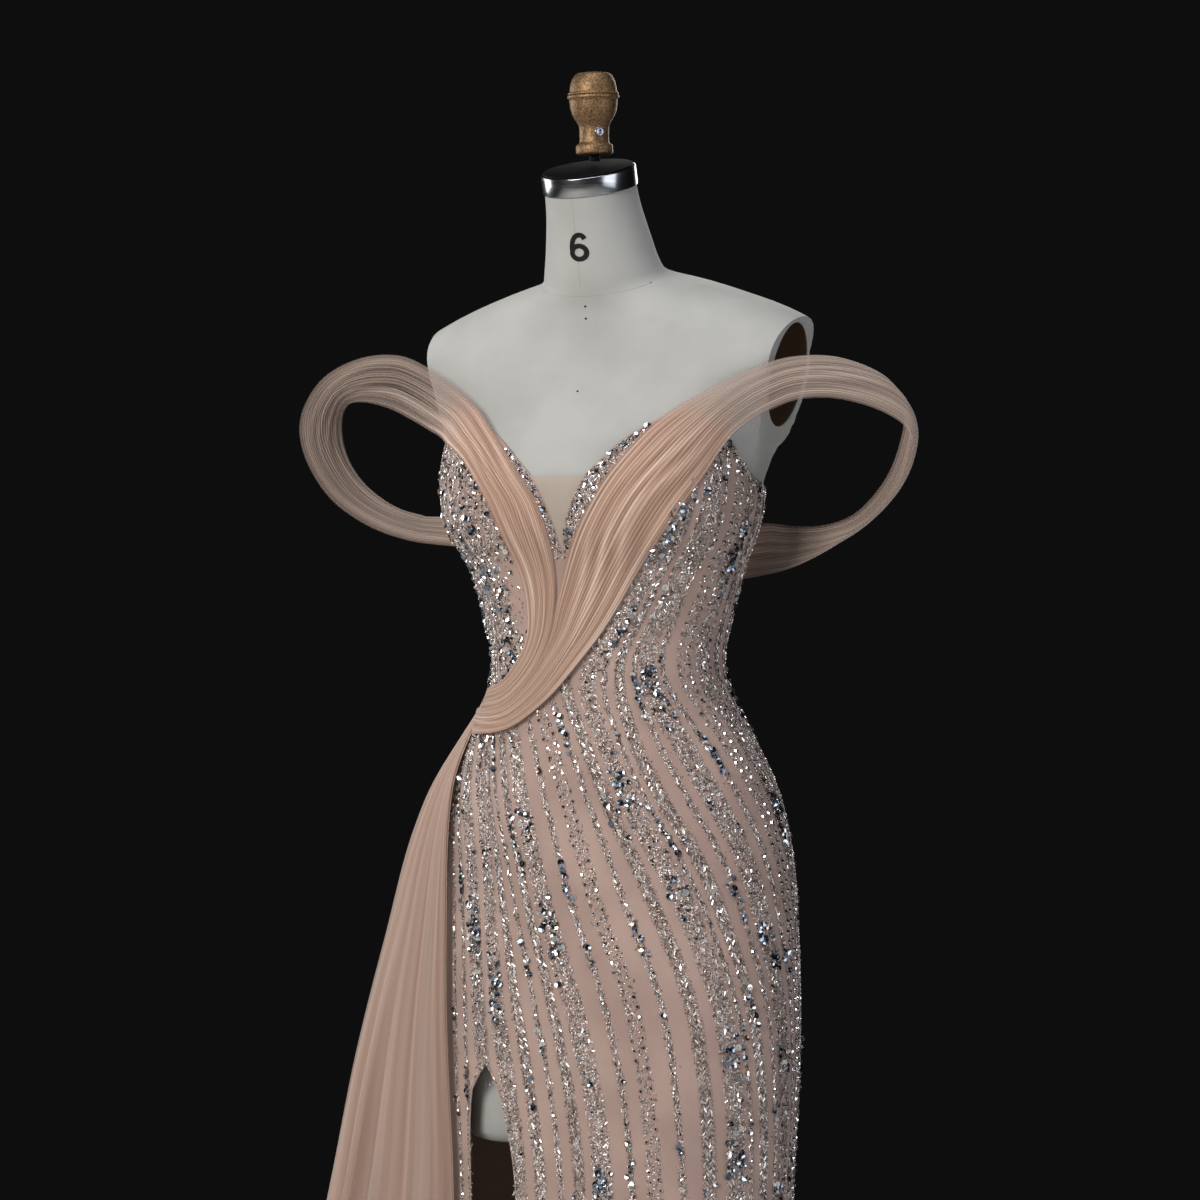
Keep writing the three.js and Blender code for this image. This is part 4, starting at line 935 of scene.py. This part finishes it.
bmesh.ops.bevel(bm, geom=bm.edges[:], offset=0.9 * mm, segments=3, profile=0.5, affect="EDGES", material=-1)
bmesh.ops.translate(bm, verts=bm.verts, vec=Vector(seat) * mm)
slider = keep("zip_slider_body", bm, zipNylon)
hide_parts("zip_slider")


# Beading. Guide lines run down the gown from the right hip round the front: each is a turn at shared heights
guides = {
    "height": [12, 300, 600, 680, 770, 860, 910, 955, 1000, 1030, 1050, 1070, 1090, 1110, 1145, 1200, 1262,
               1320],
    "g0": [-42, -42, -42, -43, -44, -47, -52, -60, -70, -77, -81, -83, -85, -86, -86, -82, -78, -76],
    "g1": [-10, -13, -17, -20, -25, -29, -32, -38, -46, -54, -59, -62, -64, -65, -66, -65, -62, -62],
    "g2": [6, 3, -1, -4, -10, -18, -23, -29, -36, -44, -49, -52, -54, -55, -55, -53, -51, -50],
    "g3": [22, 19, 13, 10, 3, -7, -12, -17, -23, -29, -34, -38, -42, -44, -45, -43, -41, -40],
    "g4": [38, 36, 32, 29, 24, 13, 8, 3, -3, -9, -15, -21, -26, -31, -35, -35, -33, -31],
    "g5": [60, 60, 58, 56, 50, 38, 29, 21, 15, 11, 8, 9, 13, 19, 28, 38, 43, 45],
    "g6": [76, 76, 75, 72, 65, 53, 45, 36, 30, 28, 27, 27, 28, 32, 39, 46, 50, 52],
    "g7": [94, 94, 93, 92, 88, 79, 73, 66, 59, 54, 50, 47, 46, 48, 53, 60, 62, 63],
    "g8": [106, 106, 106, 106, 104, 101, 98, 95, 90, 86, 82, 79, 77, 77, 79, 82, 83, 83],
    "g9": [119, 119, 118, 117, 116, 115, 114, 112, 109, 106, 105, 104, 103, 102, 103, 104, 104, 104],
}
frontGuides = 10
backTurns = [133, 150, 166, 181, 196, 212, 229, 247, 263]
flowLevels = np.arange(10, 1322.0)
sway = 7 * np.sin((flowLevels - 1060) / 120) * np.exp(-(((flowLevels - 1060) / 260) ** 2))
columns = [readTable(guides, "height", flowLevels, f"g{i}") for i in range(frontGuides)]
columns += [t + sway * math.cos(math.radians(t - 180)) for t in backTurns] + [columns[0] + 360]
flow = np.stack(columns, 1)


def flowTurn(line, height):
    row = np.clip(height - flowLevels[0], 0, len(flowLevels) - 1.001)
    i, k = np.floor(row).astype(int), np.clip(np.floor(line).astype(int), 0, flow.shape[1] - 2)
    share = line - k
    at = lambda r: mix(flow[r, k], flow[r, k + 1], share)
    return mix(at(i), at(i + 1), row - i)


def frameOn(angle, height, tangent):
    normal = skinNormal(angle, height)
    tangent = unit(tangent - normal * np.sum(tangent * normal, -1, keepdims=True))
    return tangent, np.cross(normal, tangent), normal


# A point beside a guide line, offset in millimetres, and the line's direction there
def onFlow(line, height, offset):
    line = np.broadcast_to(line, height.shape)
    middle = skin(flowTurn(line, height), height)
    ahead = skin(flowTurn(line, height - 1.0), height - 1.0)
    tangent, side, _ = frameOn(flowTurn(line, height), height, ahead - middle)
    point = middle + side * np.asarray(offset, float)[..., None]
    angle = angleAt(point)
    return angle, point[:, 2], frameOn(angle, point[:, 2], tangent)


def gapAt(line, height):  # the way between two neighbouring guide lines, in millimetres
    line = np.broadcast_to(line, height.shape)
    ends = [skin(flowTurn(line + half, height), height) for half in (-0.5, 0.5)]
    return np.linalg.norm(ends[1] - ends[0], axis=-1)


def snug(line, height):  # bands draw together where the guide lines do
    return np.clip(gapAt(line, height) / 44, 0.55, 1.1)


def covered(angle, height):
    level = np.clip((height / 2).astype(int), 0, 699)
    return cover[np.floor(angle).astype(int) % 360, level]


def wanted(angle, height, margin=1.5):  # on the cloth, off the slit, the zip and the sashes
    angle = (angle + 180) % 360 - 180
    between = (angle < slitTurn(height, "front") + 0.5) & (angle > slitTurn(height, "side") - 0.5)
    inSlit = (height < slitTop + 2) & between
    atZip = (np.abs(np.abs(angle) - 180) < 2) & (height > 975)
    return (height < gownTop(angle) - margin) & (height > hem + 2) & ~inSlit & ~atZip & ~covered(angle,
                                                                                                 height)


beads = {kind: [] for kind in ("bugle", "seed", "stone", "sequin")}


# Keeps beads of one kind: size in millimetres, roll in the cloth and tilt out of it in degrees
def sew(kind, angle, height, axes, size, roll=0.0, tilt=0.0, lift=0.0):
    here = wanted(angle, height)
    if not here.any():
        return
    count = int(here.sum())
    t, b, n = (a[here] for a in axes)
    turn = np.radians(np.broadcast_to(roll, here.shape)[here])[:, None]
    t, b = t * np.cos(turn) + b * np.sin(turn), b * np.cos(turn) - t * np.sin(turn)
    lean = np.radians(tilt * chance.standard_normal(count))[:, None]
    t, n = t * np.cos(lean) + n * np.sin(lean), n * np.cos(lean) - t * np.sin(lean)
    lean = np.radians(tilt * chance.standard_normal(count) if kind != "bugle" else chance.uniform(0, 360,
                                                                                                  count))
    b, n = (b * np.cos(lean)[:, None] + n * np.sin(lean)[:, None],
            n * np.cos(lean)[:, None] - b * np.sin(lean)[:, None])
    at = skin(angle[here], height[here]) + axes[2][here] * (lift + 0.45 * size[2])
    spreadOf = (0.8, 1.45) if kind == "sequin" else (0.78, 1.18)
    sizes = np.tile(np.array(size, float), (count, 1)) * chance.uniform(*spreadOf, (count, 1))
    beads[kind].append((at, np.stack([t, b, n], 1), sizes, chance.uniform(0, 1, count), angle[here]))


bugleSize = (1.6, 0.6, 0.6)  # half length, half width, half height
seedSize = (0.85, 0.85, 0.8)
stoneSize = (1.9, 1.9, 1.3)
sequinSize = (2.5, 2.5, 1.4)
top = 1318


def walk(line, pitch):  # heights a pitch apart along a guide line, from the neckline to the hem
    heights = np.arange(top, hem + 3, -1.0)
    points = skin(flowTurn(np.full(heights.shape, line), heights), heights)
    run = np.concatenate([[0], np.cumsum(np.linalg.norm(np.diff(points, axis=0), axis=1))])
    marks = np.arange(0, run[-1], pitch) + chance.uniform(0, pitch * 0.3)
    return np.interp(marks, run, heights)


def heaped(line, height, scale, bar):  # beads that lie in heaps along a band
    wave = np.sin(height / scale + 5.1 * line) + np.sin(height / (2.3 * scale) + 2.3 * line)
    return wave + 0.5 * chance.standard_normal(height.shape) > bar


# A file of beads of one kind beside a guide line
def sewFile(kind, line, pitch, aside, scatter, size, roll=0.0, spin=10.0, tilt=8.0, lift=0.0, heaps=None):
    h = walk(line, pitch)
    if heaps:
        h = h[heaped(line, h, *heaps)]
    a, z, axes = onFlow(line, h, (aside + chance.normal(0, scatter, h.shape)) * snug(line, h))
    sew(kind, a, z, axes, size, roll + chance.normal(0, spin, h.shape), tilt, lift)


# The smallest seeds are too many to model: they are drawn by the finish of thin strips under the bands
strewn = bmesh.new()
strewnLayer = strewn.verts.layers.float.new("strewn")


def strewOn(shares, made, place, amount):
    angle, height = place(shares)
    height = np.minimum(height, gownTop(angle) - 1.5)
    edges = slitTurn(height, "side") - 0.5, slitTurn(height, "front") + 0.5
    nearest = np.where(angle - edges[0] < edges[1] - angle, *edges)
    atEdge = (height < slitTop) & (angle > edges[0]) & (angle < edges[1]) & (np.abs(nearest - angle) < 2.5)
    angle = np.where(atEdge, nearest, angle)
    atTop = (np.abs(height - slitTop) < 8) & (np.abs(angle + 30) < 5)  # none hangs into the top of the slit
    values = amount(shares) * (wanted(angle, height, 1.0) | atEdge) * ~atTop
    for vertex, point, value in zip(made, onSkin(angle, height, 0.35) * mm, values):
        vertex.co = point
        vertex[strewnLayer] = value


def strewBand(line, half, amount):
    made = bmesh.ops.create_grid(strewn, x_segments=2, y_segments=186, size=0.5)["verts"]

    def place(shares):
        height = mix(hem + 3, top, shares[:, 1])
        wide = half * snug(line, height) if np.isscalar(half) else half(height)
        angle, height, _ = onFlow(line, height, (1 - 2 * shares[:, 0]) * -wide)
        return angle, height

    thin = lambda shares: amount * (1 - 0.6 * np.abs(2 * shares[:, 0] - 1))
    strewOn(np.array([v.co[:2] for v in made]) + 0.5, made, place, thin)


def strewPatch(turns, heights, amount):
    made = bmesh.ops.create_grid(strewn, x_segments=16, y_segments=18, size=0.5)["verts"]
    place = lambda shares: (mix(*turns, shares[:, 0]), mix(*heights, shares[:, 1]))
    thin = lambda shares: amount * np.clip(6 * np.minimum(shares, 1 - shares).min(1), 0.1, 1)
    strewOn(np.array([v.co[:2] for v in made]) + 0.5, made, place, thin)


def strand(line, loose):  # a narrow band of bugles and seeds, with a few sequins in a row here and there
    for aside in (-1.2, 1.2):
        sewFile("bugle", line, 3.4 * loose, aside, 0.5, bugleSize, 0, 24)
    sewFile("seed", line, 2.1 * loose, 0, 2.1, seedSize)
    sewFile("stone", line, 19 * loose, 0, 1.2, (1.6, 1.6, 1.2), 0, 0, 8, 0.4)
    sewFile("sequin", line, 4.4 * loose, 0, 2.0, sequinSize, 0, 0, 18, 1.0, (15, 1.05))
    strewBand(line, 3.2, 0.7)


def chevron(line, loose):  # slanted bugles in four files, as a herringbone
    for side in (-1, 1):
        sewFile("bugle", line, 2.3 * loose, side * 1.5, 0.15, (1.9, 0.55, 0.55), -side * 36, 6, 4)
        sewFile("bugle", line, 2.5 * loose, side * 3.9, 0.2, (1.7, 0.55, 0.55), side * 36, 6, 4)
        sewFile("seed", line, 3.4 * loose, side * 5.6, 0.5, seedSize)
    sewFile("sequin", line, 9 * loose, 0, 3.5, sequinSize, 0, 0, 16, 1.2, (27, 1.2))
    strewBand(line, 5.2, 0.62)


def pairs(line, loose):  # two files of rhinestones with seeds and short bugles about them
    for side in (-1, 1):
        sewFile("stone", line, 9.5 * loose, side * 4.4, 0.6, stoneSize, 0, 0, 7, 0.5)
        sewFile("bugle", line, 4.6 * loose, side * 4.4, 1.7, (1.2, 0.55, 0.55), 0, 50)
    sewFile("seed", line, 2.2 * loose, 0, 3.6, seedSize)
    strewBand(line, 6.6, 0.4)


def sewAll(kind, place, size, tilt, lift=0.0, pick=None):
    a, z, axes = place
    if pick is not None:
        a, z, axes = a[pick], z[pick], [x[pick] for x in axes]
    sew(kind, a, z, axes, size, chance.uniform(-90, 90, a.shape), tilt, lift)


# A wide band closely filled with bugles lying all ways, stones and heaps of sequins
def dense(line, loose, share):
    wide = lambda height: np.clip(share * gapAt(line, height) / 2, 3.4, 9.5)
    h = walk(line, 1.0)
    half = wide(h)

    def spread(perSquareCm):
        number = int((2 * half).sum() / 100 * perSquareCm / loose)
        i = chance.choice(len(h), number, p=half / half.sum())
        out = chance.uniform(-1, 1, number) * half[i]
        return onFlow(line, h[i] + chance.uniform(-0.5, 0.5, number), out)

    sewAll("bugle", spread(9), bugleSize, 10)
    sewAll("seed", spread(8), seedSize, 10, 0.3)
    sewAll("stone", spread(0.5), (1.7, 1.7, 1.2), 8, 0.5)
    place = spread(4.2)
    sewAll("sequin", place, (2.4, 2.4, 1.4), 20, 1.3, heaped(line, place[1], 19, 0.95))
    strewBand(line, lambda height: wide(height) + 1.2, 0.95)


# Beads strewn over a stretch of the gown
def fill(turns, heights, perSquareCm, sequins):
    width = np.radians(turns[1] - turns[0]) * 125
    number = int(width * (heights[1] - heights[0]) / 100 * perSquareCm)

    def scattered(count):
        a, z = chance.uniform(*turns, count), chance.uniform(*heights, count)
        return a, z, frameOn(a, z, skin(a, z - 1) - skin(a, z))

    sewAll("bugle", scattered(number), bugleSize, 10)
    sewAll("seed", scattered(number), seedSize, 10)
    sewAll("stone", scattered(number // 8), (1.7, 1.7, 1.2), 8, 0.5)
    sewAll("sequin", scattered(int(number * sequins)), (2.4, 2.4, 1.4), 18, 1.0)


plan = [  # guide line, kind, and of a dense band the share of the gap between guides
    (0.1, strand), (0.5, dense, 0.34), (0.98, dense, 0.34), (1.5, chevron), (1.95, strand),
    (2.4, chevron), (2.95, dense, 0.36), (3.45, strand), (3.85, pairs), (4.25, strand),
    (4.62, chevron), (5.05, dense, 0.36), (5.45, strand), (5.85, chevron), (6.25, strand),
    (6.6, dense, 0.4), (7.0, strand), (7.4, pairs), (7.85, dense, 0.4), (8.35, chevron),
    (8.8, strand), (9.25, dense, 0.4), (9.7, strand),
]
backPlan = [(chevron,), (strand,), (pairs,), (strand,), (dense, 0.34), (strand,)]
for i, line in enumerate(np.append(np.arange(10.2, 18.0, 0.5), [18.15, 18.4, 18.65, 18.9])):
    plan.append((line, *backPlan[i % len(backPlan)]))
for line, kind, *share in plan:
    kind(line, 1.0 if line < 10 else 1.6, *share)  # sewn less closely at the back
fill((-34, 34), (1180, 1315), 6, 0.05)
strewPatch((-34, 34), (1180, 1316), 0.7)
fill((-92, -22), (1085, 1312), 2.0, 0.14)
strewPatch((-92, -28), (1085, 1312), 0.26)


# Rows of beads along an edge: each row is a kind, an offset inwards, a pitch, a size and a roll
def edging(turns, heights, rows):
    points = skin(turns, heights)
    run = np.concatenate([[0], np.cumsum(np.linalg.norm(np.diff(points, axis=0), axis=1))])
    for kind, inwards, pitch, size, roll in rows:
        marks = np.arange(0, run[-1], pitch)
        a, z = np.interp(marks, run, turns), np.interp(marks, run, heights)
        ahead = skin(np.interp(marks + 1, run, turns), np.interp(marks + 1, run, heights))
        axes = frameOn(a, z, ahead - skin(a, z))
        point = skin(a, z) + axes[1] * inwards
        a, z = angleAt(point), point[:, 2]
        sew(kind, a, z, axes, size, roll + chance.normal(0, 8, a.shape), 6)


turns = np.linspace(-179, 179, 2400)
neckRows = [("seed", -1.9, 1.9, seedSize, 0), ("bugle", -3.4, 3.4, bugleSize, 0),
            ("seed", -4.8, 2.4, seedSize, 0),
            ("stone", -6.4, 8, (1.7, 1.7, 1.2), 0), ("bugle", -6.8, 3.0, bugleSize, 50),
            ("sequin", -6.0, 26, sequinSize, 0), ("seed", -9.0, 2.6, seedSize, 0)]
edging(turns, gownTop(turns), neckRows)
for which, shift in (("front", 0.9), ("side", -0.9)):  # both edges of the slit
    heights = np.linspace(slitTop + 6, hem + 3, 1200)
    angles = slitTurn(np.minimum(heights, slitTop - 0.5), which) + shift
    edging(angles, heights, [("bugle", 0, 4.6, bugleSize, 0), ("seed", 0, 9.2, seedSize, 0)])

bare = [f for f in strewn.faces if max(v[strewnLayer] for v in f.verts) == 0]
bmesh.ops.delete(strewn, geom=bare, context="FACES")
bmesh.ops.dissolve_degenerate(strewn, edges=strewn.edges, dist=1e-5)
seeds = keep("strewn_seeds", strewn, strewnGlass)

# The shapes sewn on, each with only a few faces
shapes = {}
bm = bmesh.new()
bmesh.ops.create_cone(bm, segments=3, radius1=1, radius2=1, depth=2, cap_ends=True)
bmesh.ops.rotate(bm, verts=bm.verts, cent=(0, 0, 0), matrix=Matrix.Rotation(math.pi / 2, 3, "Y"))
shapes["bugle"] = (bm, bugleGlass)
bm = bmesh.new()
bmesh.ops.create_uvsphere(bm, u_segments=3, v_segments=2, radius=1.1)
shapes["seed"] = (bm, bugleGlass)
bm = bmesh.new()
bmesh.ops.create_cone(bm, segments=6, radius1=1, radius2=0.55, depth=1, cap_ends=True)
shapes["stone"] = (bm, rhinestone)
bm = bmesh.new()
bmesh.ops.create_cone(bm, segments=7, radius1=0.16, radius2=1, depth=0.22, cap_ends=False)
shapes["sequin"] = (bm, sequinFilm)
regions = {"front": (-30, 45), "left": (45, 135), "back": (135, 225), "right": (225, 330)}
for kind, (shape, finish) in shapes.items():
    bmesh.ops.recalc_face_normals(shape, faces=shape.faces)
    at, axes, sizes, tones, turns = (np.concatenate(column) for column in zip(*beads[kind]))
    turns = (turns + 30) % 360 - 30
    for word, (low, high) in regions.items():
        here = (turns >= low) & (turns < high)
        name = f"{kind}s_{word}"
        piece = joinedCopies(name, shape, at[here], axes[here], sizes[here], tones[here], finish)
        print(name, int(here.sum()), "beads", sum(len(f.verts) - 2 for f in shape.faces) * int(here.sum()),
              "triangles")
print("beading made")

# Plain studio: a pale floor, a dim backdrop and large soft lamps
floorFinish = clothFinish("pale matt floor", "d1cfcb", "d4d2ce", 6,
                          {"roughness": 0.9, "sheen": 0.0, "bump": 0.02})
bm = bmesh.new()
bmesh.ops.create_grid(bm, x_segments=1, y_segments=1, size=3)
mesh = bpy.data.meshes.new("floor")
bm.to_mesh(mesh)
bm.free()
mesh.materials.append(floorFinish)
addObject("floor", mesh)

world = bpy.data.worlds.new("studio")
world.use_nodes = True
world.node_tree.nodes["Background"].inputs["Color"].default_value = linear("151516")
world.node_tree.nodes["Background"].inputs["Strength"].default_value = 0.6
bpy.context.scene.world = world

lamps = [  # azimuth from the front, height, distance in metres, size, watts
    {"name": "key", "azimuth": -12, "height": 2.3, "away": 3.2, "size": 1.5, "watts": 95, "colour": "fffaf4"},
    {"name": "fill", "azimuth": 75, "height": 1.5, "away": 3.2, "size": 1.8, "watts": 26, "colour": "f4f6ff"},
    {"name": "left edge", "azimuth": -95, "height": 1.7, "away": 2.6, "size": 1.2, "watts": 24,
     "colour": "ffffff"},
    {"name": "back", "azimuth": 190, "height": 2.3, "away": 3.4, "size": 1.6, "watts": 40,
     "colour": "ffffff"},
    {"name": "overhead", "azimuth": 20, "height": 3.6, "away": 0.8, "size": 1.4, "watts": 26,
     "colour": "ffffff"},
]
aim = Vector((0, 0, 1.05))
for lamp in lamps:
    light = bpy.data.lights.new(lamp["name"], "AREA")
    light.shape = "SQUARE"
    light.size = lamp["size"]
    light.energy = lamp["watts"]
    light.color = linear(lamp["colour"])[:3]
    turn = math.radians(lamp["azimuth"])
    thing = addObject(lamp["name"], light)
    thing.location = (math.sin(turn) * lamp["away"], -math.cos(turn) * lamp["away"], lamp["height"])
    thing.rotation_euler = (aim - thing.location).to_track_quat("-Z", "Y").to_euler()

right, towards = Vector(viewRight), Vector(viewNear)
lens = bpy.data.cameras.new("camera")
lens.sensor_width = 36
lens.lens = 36 * view["away"] / (view["frame"] / view["pixelsPerMm"])
camera = addObject("camera", lens)
camera.location = (right * view["aside"] + towards * view["away"] + Vector((0, 0, view["height"]))) * mm
camera.rotation_euler = (-towards).to_track_quat("-Z", "Y").to_euler()
bpy.context.scene.camera = camera
bpy.context.scene.view_settings.view_transform = "Standard"
print("studio made")
